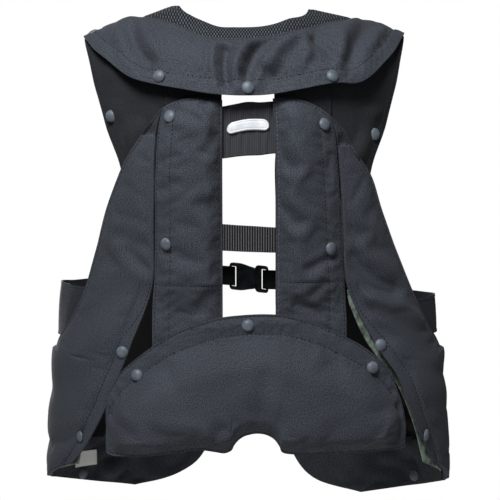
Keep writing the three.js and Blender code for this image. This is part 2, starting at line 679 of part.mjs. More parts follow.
function sideBand(side) {
  const { fromTurn, toTurn, top, bottom, bulge } = SIDE_BAND[side];
  const middle = (fromTurn + toTurn) / 2;
  const sections = 7;
  const topReach = spot(0, top).reach;
  const bottomReach = spot(0, bottom).reach;
  const rows = Array.from({ length: sections }, (_, i) => {
    const turn = SIDES[side] * THREE.MathUtils.degToRad(mix(fromTurn, toTurn, i / (sections - 1)));
    return { turn1: turn, reach1: topReach, turn2: turn, reach2: bottomReach };
  });
  return new ClothPiece(`side_band_${side}`, "band", rows, {
    across: 2,
    along: 16,
    lift: (u, v) => {
      const sewn = mix(SIDE_BAND.liftInWing, SIDE_BAND.liftInFront, smooth(0.4, 0.6, v));
      const stretched = bulge * (1 - 0.55 * u) * bell(mix(fromTurn, toTurn, v) - middle, 9);
      return sewn + stretched;
    },
    thickness: () => ELASTIC,
  });
}

const CARE_LABEL = { x: -212, z: -577, wide: 26, tall: 20, thick: 0.5, clear: 1.4 };

function careLabel() {
  const { x, z, wide, tall, thick, clear } = CARE_LABEL;
  const rows = [-0.5, 0, 0.5].map((share) => {
    const at = x + share * wide;
    return sectionRow(at, z + tall / 2, at, z - tall / 2, true);
  });
  return new ClothPiece("care_label", "label", rows, {
    across: 2,
    along: 4,
    lift: () => FRONT_PANEL.hemLift - clear - thick,
    thickness: () => thick,
  });
}

// Snap fasteners

const SNAP = { radius: 7.5, rise: 3.6, clear: 0.35, sides: 10 };
const SNAP_PROFILE = [
  { out: 0, up: 0 },
  { out: 0.97, up: 0 },
  { out: 1, up: 0.3 },
  { out: 0.9, up: 0.66 },
  { out: 0.55, up: 0.93 },
  { out: 0, up: 1 },
];

// How far the carrier's facets rise above a seat under the round foot of a cap.
function riseUnderCap(carrier, { point, normal }) {
  const above = 20;
  const turned = new THREE.Quaternion().setFromUnitVectors(new THREE.Vector3(0, 1, 0), normal);
  const rises = Array.from({ length: 24 }, (_, k) => {
    const angle = (k / 12) * 2 * Math.PI;
    const out = SNAP.radius * (k < 12 ? 1 : 0.5);
    const aside = new THREE.Vector3(out * Math.cos(angle), above, out * Math.sin(angle));
    const start = aside.applyQuaternion(turned).add(point);
    const ray = new THREE.Raycaster(start, normal.clone().negate());
    const [hit] = ray.intersectObject(carrier);
    return hit ? above - hit.distance : 0;
  });
  return Math.max(...rises);
}

function snapCap(name, seat, carrier) {
  const profile = SNAP_PROFILE.map((p) => new THREE.Vector2(p.out * SNAP.radius, p.up * SNAP.rise));
  const cap = namedMesh(name, "snap", new THREE.LatheGeometry(profile, SNAP.sides));
  cap.quaternion.setFromUnitVectors(new THREE.Vector3(0, 1, 0), seat.normal);
  cap.position.copy(seat.point).addScaledVector(seat.normal, riseUnderCap(carrier, seat) + SNAP.clear);
  return cap;
}

// Each snap sits on its carrier where it shows from behind; those on the front panels face inward.
const SNAPS = [
  { name: "snap_collar_left", on: "collar_flap", x: -106, z: -82 },
  { name: "snap_collar_middle", on: "collar_flap", x: 0, z: -96 },
  { name: "snap_collar_right", on: "collar_flap", x: 100, z: -82 },
  { name: "snap_shoulder_panel_left", on: "shoulder_panel_left", x: -165, z: -129 },
  { name: "snap_shoulder_panel_right", on: "shoulder_panel_right", x: 152, z: -151 },
  { name: "snap_channel_top_left", on: "back_channel_left", x: -91, z: -131 },
  { name: "snap_channel_top_right", on: "back_channel_right", x: 89, z: -140 },
  { name: "snap_channel_low_left", on: "back_channel_left", x: -98, z: -282 },
  { name: "snap_channel_low_right", on: "back_channel_right", x: 99, z: -287 },
  { name: "snap_wing_upper_left", on: "side_wing_left", x: -153, z: -415 },
  { name: "snap_wing_upper_right", on: "side_wing_right", x: 161, z: -406 },
  { name: "snap_wing_lower_left", on: "side_wing_left", x: -210, z: -522 },
  { name: "snap_wing_lower_right", on: "side_wing_right", x: 220, z: -520 },
  { name: "snap_hip_left", on: "hip_pad", x: -134, z: -441 },
  { name: "snap_hip_middle", on: "hip_pad", x: 0, z: -380 },
  { name: "snap_hip_right", on: "hip_pad", x: 150, z: -433 },
  { name: "snap_front_left", on: "front_panel_left", x: -217, z: -597, inside: true },
  { name: "snap_front_right", on: "front_panel_right", x: 217, z: -600, inside: true },
];
// On the shoulders the collar is fastened on top, where it crosses the ridge.
const SHOULDER_SNAPS = [
  { name: "snap_shoulder_left", u: 0.76, v: 3.1 / 18 },
  { name: "snap_shoulder_right", u: 0.76, v: 15.6 / 18 },
];

function snapCaps(pieces, meshes) {
  const find = (list, name) => list.find((item) => item.name === name);
  const onBack = SNAPS.map(({ name, on, x, z, inside }) => {
    const seat = inside ? find(pieces, on).seat(x, z, 0, true) : find(pieces, on).seat(x, z);
    return snapCap(name, seat, find(meshes, on));
  });
  const collar = find(pieces, "collar_flap");
  const collarMesh = find(meshes, "collar_flap");
  const onShoulder = SHOULDER_SNAPS.map(({ name, u, v }) => {
    return snapCap(name, collar.seatAt(u, v, 1), collarMesh);
  });
  return [...onBack, ...onShoulder];
}

// Front strap with its side-release buckle, fastened

const STRAP = { z: -343, wide: 25, clear: 0.5, sewnX: 98, foldX: 60 };
const BUCKLE = {
  tall: 36,
  deep: 10,
  wall: 2,
  corner: 4,
  barDiameter: 3,
  socket: { from: -25, to: 9 },
  plug: { from: 9.6, to: 27 },
  slot: 6,
  rim: 3,
  tongue: { deep: 4.6, tall: 14, reach: 23, clear: 0.4 },
  arm: { tall: 5.5, reach: 20, window: { from: -12, to: 2 } },
};

// Buckle pieces are extruded through their depth, from outlines in x and z about the buckle's centre.
function extruded(outline, holes, deep, bevel) {
  const shape = new THREE.Shape(outline);
  shape.holes = holes.map((hole) => new THREE.Path(hole));
  const solid = new THREE.ExtrudeGeometry(shape, {
    depth: deep - 2 * bevel,
    bevelEnabled: bevel > 0,
    bevelThickness: bevel,
    bevelSize: bevel,
    bevelOffset: -bevel,
    bevelSegments: 1,
    curveSegments: 4,
  });
  return solid.translate(0, 0, bevel - deep / 2).rotateX(Math.PI / 2);
}

function roundedBox(fromX, toX, tall, radius) {
  const corners = [
    { x: toX - radius, z: -tall / 2 + radius, start: -90 },
    { x: toX - radius, z: tall / 2 - radius, start: 0 },
    { x: fromX + radius, z: tall / 2 - radius, start: 90 },
    { x: fromX + radius, z: -tall / 2 + radius, start: 180 },
  ];
  return corners.flatMap(({ x, z, start }) =>
    [0, 30, 60, 90].map((turn) => {
      const angle = THREE.MathUtils.degToRad(start + turn);
      return new THREE.Vector2(x + radius * Math.cos(angle), z + radius * Math.sin(angle));
    }),
  );
}

function asSolid(geometry) {
  const bare = geometry.index ? geometry.toNonIndexed() : geometry;
  const points = new THREE.BufferGeometry().setAttribute("position", bare.attributes.position);
  const merged = mergeVertices(points, 1e-4);
  return new wasm.Manifold(
    new wasm.Mesh({
      numProp: 3,
      vertProperties: merged.attributes.position.array,
      triVerts: new Uint32Array(merged.index.array),
    }),
  );
}

function asGeometry(solid) {
  const { vertProperties, triVerts } = solid.getMesh();
  return new THREE.BufferGeometry()
    .setAttribute("position", new THREE.BufferAttribute(vertProperties, 3))
    .setIndex(new THREE.BufferAttribute(triVerts, 1));
}

function block(fromX, toX, deep, fromZ, toZ) {
  const box = new THREE.BoxGeometry(toX - fromX, deep, toZ - fromZ);
  return asSolid(box.translate((fromX + toX) / 2, 0, (fromZ + toZ) / 2));
}

// Thins the end bar of a buckle piece, so that the folded strap has room round it.
function thinBar(solid, fromX, toX) {
  const half = STRAP.wide / 2 + 1;
  const aside = (BUCKLE.barDiameter + BUCKLE.deep) / 2;
  const trim = (edge) => block(fromX, toX, BUCKLE.deep, -half, half).translate(0, edge * aside, 0);
  return solid.subtract(trim(1)).subtract(trim(-1));
}

// The socket: a hollow shell open towards the plug, with a window in each edge and a strap bar at its end.
function buckleSocket() {
  const { socket, tall, deep, corner, wall, slot, rim, tongue, arm } = BUCKLE;
  const slotEnds = { from: socket.from + BUCKLE.barDiameter, to: socket.from + BUCKLE.barDiameter + slot };
  const slotTall = STRAP.wide + 2;
  const shell = asSolid(
    extruded(
      roundedBox(socket.from, socket.to, tall, corner),
      [roundedBox(slotEnds.from, slotEnds.to, slotTall, 1).reverse()],
      deep,
      1,
    ),
  );
  const past = 1;
  const inside = tall / 2 - wall;
  const chamber = block(slotEnds.to + rim, socket.to + past, deep - 2 * wall, -inside, inside);
  const { from, to } = arm.window;
  const upperWindow = block(from, to, tongue.deep + 1, tall / 2 - arm.tall, tall / 2 + past);
  const lowerWindow = block(from, to, tongue.deep + 1, -tall / 2 - past, -tall / 2 + arm.tall);
  const hollow = shell.subtract(chamber).subtract(upperWindow).subtract(lowerWindow);
  const barred = thinBar(hollow, socket.from - past, slotEnds.from + past);
  return namedMesh("buckle_socket", "buckle", asGeometry(barred));
}

// The plug: a ladder bar for the adjustable strap, a guide tongue and two spring arms with their thumb pads.
function bucklePlug() {
  const { plug, tall, deep, corner, slot, tongue, arm, wall } = BUCKLE;
  const slotFrom = plug.to - BUCKLE.barDiameter - slot;
  const bodyDeep = deep - 2;
  const body = asSolid(
    extruded(
      roundedBox(plug.from, plug.to, tall, corner),
      [roundedBox(slotFrom, slotFrom + slot, STRAP.wide + 2, 1).reverse()],
      bodyDeep,
      1,
    ),
  );
  const root = plug.from + 2;
  const inner = tall / 2 - wall - tongue.clear;
  const guide = block(root - tongue.reach, root, tongue.deep, -tongue.tall / 4, tongue.tall / 4);
  const padEnd = arm.window.to - tongue.clear;
  const padStart = arm.window.from + tongue.clear;
  const arms = [1, -1].map((edge) => {
    const span = (a, b) => [Math.min(edge * a, edge * b), Math.max(edge * a, edge * b)];
    const spring = block(root - arm.reach, root, tongue.deep, ...span(inner - 3, inner));
    const pad = block(padStart, padEnd, tongue.deep, ...span(inner - arm.tall + 1, tall / 2 - 0.6));
    return spring.add(pad);
  });
  const whole = body.add(guide).add(arms[0]).add(arms[1]);
  return namedMesh("buckle_plug", "buckle", asGeometry(thinBar(whole, slotFrom + slot - 1, plug.to + 1)));
}

// A webbing strap that lies on the front panel, and is folded round the buckle's bar and sewn to itself.
// Its profile in x and depth is a narrow loop about the bar with a tail, taken through the webbing's width.
function frontStrap(side, barX) {
  const out = SIDES[side];
  const gap = 0.4;
  const inner = BUCKLE.barDiameter * Math.SQRT1_2 + gap;
  const outer = inner + WEBBING;
  const bend = [-90, -60, -30, 0, 30, 60, 90].map((turn) => THREE.MathUtils.degToRad(turn));
  const round = (radius) =>
    bend.map((angle) => new THREE.Vector2(barX - out * radius * Math.cos(angle), radius * Math.sin(angle)));
  const flat = (x, half) => [new THREE.Vector2(out * x, half), new THREE.Vector2(out * x, -half)];
  const outline = [...round(outer), ...flat(STRAP.foldX, WEBBING).slice(0, 1)];
  outline.push(...flat(STRAP.sewnX, WEBBING), ...flat(STRAP.foldX, WEBBING).slice(1));
  const hole = [...round(inner), new THREE.Vector2(out * (STRAP.foldX - 6), 0)];
  const shape = new THREE.Shape(outline);
  shape.holes = [new THREE.Path(hole.reverse())];
  const strap = new THREE.ExtrudeGeometry(shape, { depth: STRAP.wide, bevelEnabled: false });
  return namedMesh(`front_strap_${side}`, "webbing", strap.translate(0, 0, -STRAP.wide / 2));
}

// The strap lies just clear of the panels' outer faces at the centre front.
function frontFastening(panel) {
  const group = new THREE.Group();
  const edge = panel.seat(-STRAP.foldX, STRAP.z, 1, true).point.y;
  const bar = BUCKLE.barDiameter / 2;
  group.add(buckleSocket(), bucklePlug());
  group.add(frontStrap("left", BUCKLE.socket.from + bar), frontStrap("right", BUCKLE.plug.to - bar));
  group.position.set(0, edge + WEBBING + STRAP.clear + 4, STRAP.z);
  return group;
}

// The whole vest

const clothPieces = [
  collarFlap(),
  neckMesh(),
  hipPad(),
  spineElastic("elastic_upper", UPPER_ELASTIC),
  spineElastic("elastic_lower", LOWER_ELASTIC),
  reflectiveTab(),
  careLabel(),
  ...Object.keys(SIDES).flatMap((side) => [
    backChannel(side),
    sideWing(side),
    airbagLining(side),
    shoulderPanel(side),
    neckLink(side),
    frontPanel(side),
    sideBand(side),
  ]),
];

const clothMeshes = clothPieces.map((piece) => piece.mesh());

const vest = new THREE.Group();
vest.add(...clothMeshes);
vest.add(...snapCaps(clothPieces, clothMeshes));
vest.add(frontFastening(clothPieces.find((piece) => piece.name === "front_panel_left")));

export default vest;
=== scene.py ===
# Airbag riding vest, seen from behind. Sizes are in millimetres until a mesh is written, then metres.
import math
import bmesh
import bpy
import numpy as np
from mathutils import Matrix, Vector, noise
from mathutils.bvhtree import BVHTree


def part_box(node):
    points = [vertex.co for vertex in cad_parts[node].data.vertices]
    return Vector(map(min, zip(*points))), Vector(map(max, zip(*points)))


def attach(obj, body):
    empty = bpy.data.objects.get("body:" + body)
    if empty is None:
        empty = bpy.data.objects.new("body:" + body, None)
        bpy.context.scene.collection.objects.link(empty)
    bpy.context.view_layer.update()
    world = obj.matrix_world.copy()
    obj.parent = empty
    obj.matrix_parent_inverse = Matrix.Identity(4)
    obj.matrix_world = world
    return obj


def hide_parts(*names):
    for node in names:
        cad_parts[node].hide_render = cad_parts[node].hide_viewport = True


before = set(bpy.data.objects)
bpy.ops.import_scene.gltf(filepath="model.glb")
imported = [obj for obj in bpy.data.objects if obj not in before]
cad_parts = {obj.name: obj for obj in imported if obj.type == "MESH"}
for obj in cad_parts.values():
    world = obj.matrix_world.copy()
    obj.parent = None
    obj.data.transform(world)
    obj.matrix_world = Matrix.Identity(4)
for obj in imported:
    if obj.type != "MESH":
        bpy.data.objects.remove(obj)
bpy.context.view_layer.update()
mm = 0.001
sides = {"left": -1, "right": 1}
print("frame loaded")


# curves and tables

def ramp(a, b, value):  # soft step from a to b, either way round
    t = np.clip((value - a) / (b - a), 0, 1)
    return t * t * (3 - 2 * t)


def bell(distance, width):
    return np.exp(-((distance / width) ** 2))


def mix(a, b, t):
    return a + (b - a) * t


def alongTable(rows, at):  # smooth curve through the rows; the first column is the place
    rows = np.asarray(rows, float)
    at = np.clip(np.asarray(at, float), rows[0, 0], rows[-1, 0])
    p = rows[:, 0]
    last = len(p) - 1
    i1 = np.clip(np.searchsorted(p, at, side="right"), 1, last)
    i0 = i1 - 1
    before = np.where(i0 > 0, i0 - 1, i1)
    after = np.where(i1 < last, i1 + 1, i0)
    half = (p[i1] - p[i0]) / 2
    wb = (half / (p[i0] - p[before]))[..., None]
    wa = (half / (p[after] - p[i1]))[..., None]
    t = ((at - p[i0]) / (p[i1] - p[i0]))[..., None]
    t2, t3 = t * t, t * t * t
    value = rows[:, 1:]
    return (value[before] * wb * (-t3 + 2 * t2 - t)
            + value[i0] * ((1 + wb) * t3 - (1.5 + 2 * wb) * t2 + (wb - 0.5) * t + 1)
            + value[i1] * (-(1 + wa) * t3 + (1.5 + wa) * t2 + 0.5 * t)
            + value[after] * wa * (t3 - t2))


# the worn form that every piece of cloth lies on

bodyForm = {
    "squareness": 2.3,
    "roundOver": 105,
    "level": (70, 50), "fall": (36.5, 29.5),  # shoulders: left, right
    "run": 137, "curve": 1.4, "evensOut": 260,
    "sections": [  # drop, half width, depth of back, depth of front
        (0, 214, 118, 108), (60, 203, 120, 112), (120, 192, 124, 118), (200, 190, 124, 124),
        (280, 208, 116, 122), (350, 228, 110, 118), (430, 236, 114, 118), (640, 247, 128, 124)],
}


def shoulderFall(x, drop):
    level, fall = np.where(x < 0, *bodyForm["level"]), np.where(x < 0, *bodyForm["fall"])
    out = np.maximum(0, np.abs(x) - level) / bodyForm["run"]
    return -fall * out ** bodyForm["curve"] * ramp(bodyForm["evensOut"], 0, drop)


def dropAt(reach):  # how far below the shoulder ridge a reach is
    way = np.abs(reach)
    rounded = 1 - np.cos(np.minimum(way, 1) * math.pi / 2)
    return bodyForm["roundOver"] * (rounded + (np.maximum(way, 1) - 1) * math.pi / 2)


def formPoint(turn, reach):
    quarter = np.minimum(np.abs(reach), 1) * math.pi / 2
    drop = dropAt(reach)
    half, back, front = np.moveaxis(alongTable(bodyForm["sections"], drop), -1, 0)
    facing = np.cos(turn) * np.where(reach < 0, -1, 1)
    power = 2 / bodyForm["squareness"]
    x = half * np.sign(turn) * np.abs(np.sin(turn)) ** power
    y = -np.where(facing > 0, back, front) * np.sin(quarter) * np.sign(facing) * np.abs(facing) ** power
    return np.stack([x, y, shoulderFall(x, drop) - drop], -1)


def formNormal(turn, reach):
    step = 0.004
    across = formPoint(turn + step, reach) - formPoint(turn - step, reach)
    down = formPoint(turn, reach + step) - formPoint(turn, reach - step)
    normal = np.cross(across, down)
    normal /= np.linalg.norm(normal, axis=-1, keepdims=True)
    point = formPoint(turn, reach)
    outward = point - point * [0.6, 0, 1] + [0, 0, bodyForm["roundOver"] / 2]
    return normal * np.sign((normal * outward).sum(-1, keepdims=True))


def reachOf(drop):
    rounded = drop / bodyForm["roundOver"]
    curved = np.arccos(np.clip(1 - rounded, -1, 1))
    return np.where(rounded < 1, curved, math.pi / 2 + rounded - 1) * 2 / math.pi


def turnOf(x, drop):
    half = alongTable(bodyForm["sections"], drop)[..., 0]
    return np.sign(x) * np.arcsin(np.minimum(1, np.abs(x) / half) ** (bodyForm["squareness"] / 2))


def spot(x, z, onFront=False):  # turn and reach where the back, or the front, lies at x and z
    x, z = np.asarray(x, float), np.asarray(z, float)
    high, low = np.zeros_like(x), np.full_like(x, 640)
    for step in range(40):
        middle = (high + low) / 2
        above = shoulderFall(x, middle) - middle > z
        high, low = np.where(above, middle, high), np.where(above, low, middle)
    turn = turnOf(x, high)
    return (np.sign(x) * math.pi - turn if onFront else turn), reachOf(high)


def rowsAt(table, onFront=False):  # x, z, x, z of the two ends of each section
    table = np.asarray(table, float)
    first, second = spot(table[:, 0], table[:, 1], onFront), spot(table[:, 2], table[:, 3], onFront)
    return np.stack([*first, *second], -1)


def rowsByReach(table):  # x, reach, x, reach; a reach below 0 is on the front
    table = np.asarray(table, float)
    turns = [turnOf(table[:, k], np.minimum(dropAt(table[:, k + 1]), bodyForm["roundOver"])) for k in (0, 2)]
    return np.stack([turns[0], table[:, 1], turns[1], table[:, 3]], -1)


# cloth, from a flat grid that is laid on the form

thinnest = 1.6  # mm, of a filled piece


class Cloth:
    crowding = 0.75  # of the columns, towards the two edges

    def __init__(self, rows, grid, turns=None, bow=0):
        across, along = grid
        even = np.linspace(0, 1, across + 1)
        columns = mix(even, 0.5 - 0.5 * np.cos(math.pi * even), self.crowding)
        u, v = np.meshgrid(columns, np.linspace(0, 1, along + 1))
        numbered = np.column_stack([np.arange(len(rows)), rows])
        ends = alongTable(numbered, v * (len(rows) - 1))
        self.turn = mix(ends[..., 0], ends[..., 2], u)
        if turns is not None:
            self.turn = np.clip(self.turn, *sorted(turns))
        arch = bow * 4 * u * (1 - u) * ramp(0.22, 0, v)  # of the top edge
        self.reach = mix(ends[..., 1], ends[..., 3], u) - arch
        flat = formPoint(self.turn, self.reach)
        self.u, self.v, self.across, self.along = u, v, across, along
        self.x, self.y, self.z = np.moveaxis(flat, -1, 0)
        self.flat, self.normal = flat, formNormal(self.turn, self.reach)
        wide = np.linalg.norm(np.diff(flat, axis=1), axis=-1)
        tall = np.linalg.norm(np.diff(flat, axis=0), axis=-1)
        self.fromFirst = np.pad(np.cumsum(wide, 1), ((0, 0), (1, 0)))  # mm from the first edge
        self.toSecond = self.fromFirst[:, -1:] - self.fromFirst
        self.fromTop = np.pad(np.cumsum(tall, 0), ((1, 0), (0, 0)))
        self.toEnd = self.fromTop[-1:] - self.fromTop
        self.edge = np.minimum.reduce([self.fromFirst, self.toSecond, self.fromTop, self.toEnd])

    def lay(self, lift, thick):
        self.inner = self.flat + self.normal * (lift + np.zeros_like(self.u))[..., None]
        self.outer = self.inner + self.normal * (thick + np.zeros_like(self.u))[..., None]

    def rough(self, size, amount, seed=0):  # slow uneven drape, in mm
        points = np.stack([self.x, self.y, self.z], -1).reshape(-1, 3) / size
        values = [noise.noise(Vector(p) + Vector((seed, 0, 0))) for p in points]
        return amount * np.array(values).reshape(self.u.shape)

    def folds(self, table):  # soft valleys along lines in x and z: points, width, depth
        total = np.zeros_like(self.u)
        flat = np.stack([self.x, self.z], -1)
        for points, width, depth in table:
            points = np.asarray(points, float)
            near = np.full(self.u.shape, 1e9)
            for a, b in zip(points[:-1], points[1:]):
                t = np.clip(((flat - a) @ (b - a)) / ((b - a) @ (b - a)), 0, 1)
                near = np.minimum(near, np.linalg.norm(flat - a - t[..., None] * (b - a), axis=-1))
            total += depth * (bell(near, width) - 0.45 * bell(near - 2.1 * width, width))
        return np.where(self.y < 10, total, 0)

    def pucker(self, distance, pitch, amount):  # small gathers across a stitch line
        return amount * bell(distance, 7) * np.sin(self.fromTop * 2 * math.pi / pitch + self.rough(30, 4, 31))

    def line(self, level, where, span=(0, 1), along=True):  # the outer face where a measure has a level
        levels = getattr(self, where) if along else getattr(self, where).T
        outer = self.outer if along else self.outer.swapaxes(0, 1)
        last = len(levels) - 1
        found = []
        for j in range(int(span[0] * last), int(span[1] * last) + 1):
            wanted = level(j / last) if callable(level) else level
            order = np.argsort(levels[j])
            if levels[j].min() <= wanted <= levels[j].max():
                found.append([np.interp(wanted, levels[j][order], outer[j, order, k]) for k in range(3)])
        return np.array(found)


made = {}


def newObject(name, bm):
    mesh = bpy.data.meshes.new(name)
    bm.to_mesh(mesh)
    bm.free()
    obj = bpy.data.objects.new(name, mesh)
    bpy.context.collection.objects.link(obj)
    return obj


def finishPiece(name, bm, material, node=None):
    obj = newObject(name, bm)
    obj.data.polygons.foreach_set("use_smooth", [True] * len(obj.data.polygons))
    obj.data.materials.append(material)
    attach(obj, "root")
    if node:
        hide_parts(node)
    made[name] = obj
    return obj


def flatGrid(cloth):  # and the row and column of each of its points
    bm = bmesh.new()
    bmesh.ops.create_grid(bm, x_segments=cloth.across, y_segments=cloth.along, size=0.5)
    places = [(round((v.co.y + 0.5) * cloth.along), round((v.co.x + 0.5) * cloth.across)) for v in bm.verts]
    return bm, places


def sewPiece(name, cloth, material, node):  # both faces of the cloth and the rim between them
    bm, places = flatGrid(cloth)
    column, row = bm.verts.layers.int.new("column"), bm.verts.layers.int.new("row")
    for v, place in zip(bm.verts, places):
        v[row], v[column] = place
    raised = bmesh.ops.extrude_face_region(bm, geom=bm.faces[:])["geom"]
    outside = {v for v in raised if isinstance(v, bmesh.types.BMVert)}
    uv = bm.loops.layers.uv.new("cloth")
    for v in bm.verts:
        v.co = Vector((cloth.outer if v in outside else cloth.inner)[v[row], v[column]] * mm)
    for face in bm.faces:
        for loop in face.loops:
            place = loop.vert[row], loop.vert[column]
            loop[uv].uv = cloth.fromFirst[place] * mm, cloth.fromTop[place] * mm
    bmesh.ops.recalc_face_normals(bm, faces=bm.faces)
    return finishPiece(name, bm, material, node)


filling = {
    "frames": 20, "edge": (2, 7),
    "settings": {"quality": 5, "mass": 0.25, "air_damping": 2, "tension_stiffness": 12,
                 "compression_stiffness": 12, "shear_stiffness": 4, "bending_stiffness": 0.35,
                 "use_pressure": True, "uniform_pressure_force": 4.0, "vertex_group_mass": "sewn"},
}


def fillCloth(cloth, sewn, piece):  # air and slack move it by up to piece["most"] mm; sewn is 1 at a seam
    free = np.clip(ramp(*filling["edge"], cloth.edge) - sewn, 0, 1)
    bm, places = flatGrid(cloth)
    for v, place in zip(bm.verts, places):
        v.co = Vector(cloth.outer[place] * mm)
    bm.normal_update()
    if sum(v.normal.dot(Vector(cloth.normal[place])) for v, place in zip(bm.verts, places)) < 0:
        bmesh.ops.reverse_faces(bm, faces=bm.faces)
    obj = newObject("filled", bm)
    pinned = obj.vertex_groups.new(name="sewn")
    for index, place in enumerate(places):
        pinned.add([index], 1 - float(free[place]), "REPLACE")
    modifier = obj.modifiers.new("fill", "CLOTH")
    modifier.point_cache.frame_start, modifier.point_cache.frame_end = 1, filling["frames"]
    for key, value in filling["settings"].items():
        setattr(modifier.settings, key, value)
    modifier.settings.shrink_min = -piece["slack"]
    modifier.settings.effector_weights.gravity = 0
    modifier.collision_settings.use_collision = False
    for number in range(1, filling["frames"] + 1):
        bpy.context.scene.frame_set(number)
    shaped = obj.evaluated_get(bpy.context.evaluated_depsgraph_get()).data
    moved = np.array([shaped.vertices[k].co for k in range(len(places))]) / mm
    rows, columns = np.array(places).T
    step = np.nan_to_num(moved - cloth.outer[rows, columns])
    far = np.linalg.norm(step, axis=1, keepdims=True) + 1e-9
    step *= np.tanh(far / piece["most"]) * piece["most"] / far
    cloth.outer[rows, columns] += step
    bpy.data.objects.remove(obj)
    bpy.context.scene.frame_set(1)
    print("filled, largest move in mm", round(float(far.max()), 1))


# materials

def hexColor(code):
    parts = [int(code[i:i + 2], 16) / 255 for i in (0, 2, 4)]
    return [p / 12.92 if p <= 0.04045 else ((p + 0.055) / 1.055) ** 2.4 for p in parts] + [1]


def addNode(mat, kind, inputs=None, **settings):
    node = mat.node_tree.nodes.new(kind)
    for key, value in settings.items():
        setattr(node, key, value)
    for key, value in (inputs or {}).items():
        if isinstance(value, bpy.types.NodeSocket):
            mat.node_tree.links.new(value, node.inputs[key])
        else:
            node.inputs[key].default_value = value
    return node


def newMaterial(name, **shader):  # a Principled surface with its even values set on its own sockets
    mat = bpy.data.materials.new(name)
    mat.use_nodes = True
    surface = mat.node_tree.nodes["Principled BSDF"]
    for key, value in shader.items():
        surface.inputs[key.replace("_", " ")].default_value = value
    return mat, surface


def ramped(mat, factor, stops):
    node = addNode(mat, "ShaderNodeValToRGB", {"Fac": factor})
    elements = node.color_ramp.elements
    for index in (0, -1):
        elements[index].position, elements[index].color = stops[index][0], hexColor(stops[index][1])
    for place, code in stops[1:-1]:
        elements.new(place).color = hexColor(code)
    return node.outputs["Color"]


def grainOf(mat, vector, size, detail, roughness=0.5):  # noise with grains of a size in mm
    inputs = {"Vector": vector, "Scale": 1 / (size * mm), "Detail": detail, "Roughness": roughness}
    return addNode(mat, "ShaderNodeTexNoise", inputs).outputs["Fac"]


def wavesOf(mat, vector, pitch, direction, **inputs):  # bands at a pitch in mm
    inputs = {key.replace("_", " "): value for key, value in inputs.items()}
    inputs.update({"Vector": vector, "Scale": math.pi / (10 * pitch * mm)})
    return addNode(mat, "ShaderNodeTexWave", inputs, bands_direction=direction).outputs["Fac"]


def addedOn(mat, base, extra, share):
    return addNode(mat, "ShaderNodeMath", {0: extra, 1: share, 2: base}, operation="MULTIPLY_ADD").outputs[0]


def clothUv(mat):
    return addNode(mat, "ShaderNodeUVMap", uv_map="cloth").outputs["UV"]


def objectPlace(mat):
    return addNode(mat, "ShaderNodeTexCoord").outputs["Object"]


def dress(mat, surface, color, height, strength, depth):  # colour, and a bump of a depth in mm
    bump = addNode(mat, "ShaderNodeBump", {"Height": height, "Strength": strength, "Distance": depth * mm})
    mat.node_tree.links.new(color, surface.inputs["Base Color"])
    mat.node_tree.links.new(bump.outputs["Normal"], surface.inputs["Normal"])
    return mat


# plain-woven nylon: fine checked threads that break up the light, and a slight grey bloom at grazing angles
def wovenNylon(name, dark, pale, pitch=1.3):  # threads of 0.4 mm are drawn at the pitch, so that they show
    mat, surface = newMaterial(name, Roughness=0.8, IOR=1.53, Specular_IOR_Level=0.25, Sheen_Weight=0.05,
                               Sheen_Roughness=0.5)
    uv = clothUv(mat)
    checks = addNode(mat, "ShaderNodeTexChecker", {"Vector": uv, "Scale": 1 / (pitch * mm)}).outputs["Fac"]
    warp = wavesOf(mat, uv, 2 * pitch, "X", Distortion=0.6, Detail=1)
    weft = wavesOf(mat, uv, 2 * pitch, "Y", Distortion=0.6, Detail=1)
    weave = addNode(mat, "ShaderNodeMix", {"Factor": checks, "A": warp, "B": weft}).outputs["Result"]
    drawn = addNode(mat, "ShaderNodeMapping", {"Vector": uv, "Scale": (0.55, 1, 1)}).outputs["Vector"]
    flecks = grainOf(mat, drawn, 0.9, 1, 0.6)  # longer than wide
    wear = grainOf(mat, objectPlace(mat), 70, 2)
    thread = addedOn(mat, flecks, weave, 0.09)
    tone = addedOn(mat, thread, wear, 0.12)
    inputs = {"Value": tone, "From Min": 0.42, "From Max": 0.79}
    spread = addNode(mat, "ShaderNodeMapRange", inputs).outputs[0]
    return dress(mat, surface, ramped(mat, spread, [(0, dark), (1, pale)]), thread, 0.5, 0.4)


# knitted and woven trims: ribs are in the mesh, and the yarn gives a fine grain; ribbed ones also get painted
# shade in the grooves between the ribs
def knittedYarn(name, dark, pale, grain=0.9, rough=0.8, ribPitch=None, grooveShade=0.0):
    mat, surface = newMaterial(name, Roughness=rough, IOR=1.5, Specular_IOR_Level=0.3, Sheen_Weight=0.06,
                               Sheen_Roughness=0.4)
    yarn = shade = grainOf(mat, objectPlace(mat), grain, 3, 0.65)
    low, high = 0.3, 0.7
    if ribPitch:  # painted shade in the grooves between the ribs
        ribs = wavesOf(mat, clothUv(mat), ribPitch, "Y", Phase_Offset=math.pi)
        shade = addNode(mat, "ShaderNodeMath", {0: yarn, 1: ribs}, operation="MULTIPLY").outputs[0]
        low, high = grooveShade, 0.6
    return dress(mat, surface, ramped(mat, shade, [(low, dark), (high, pale)]), yarn, 0.4, 0.3)
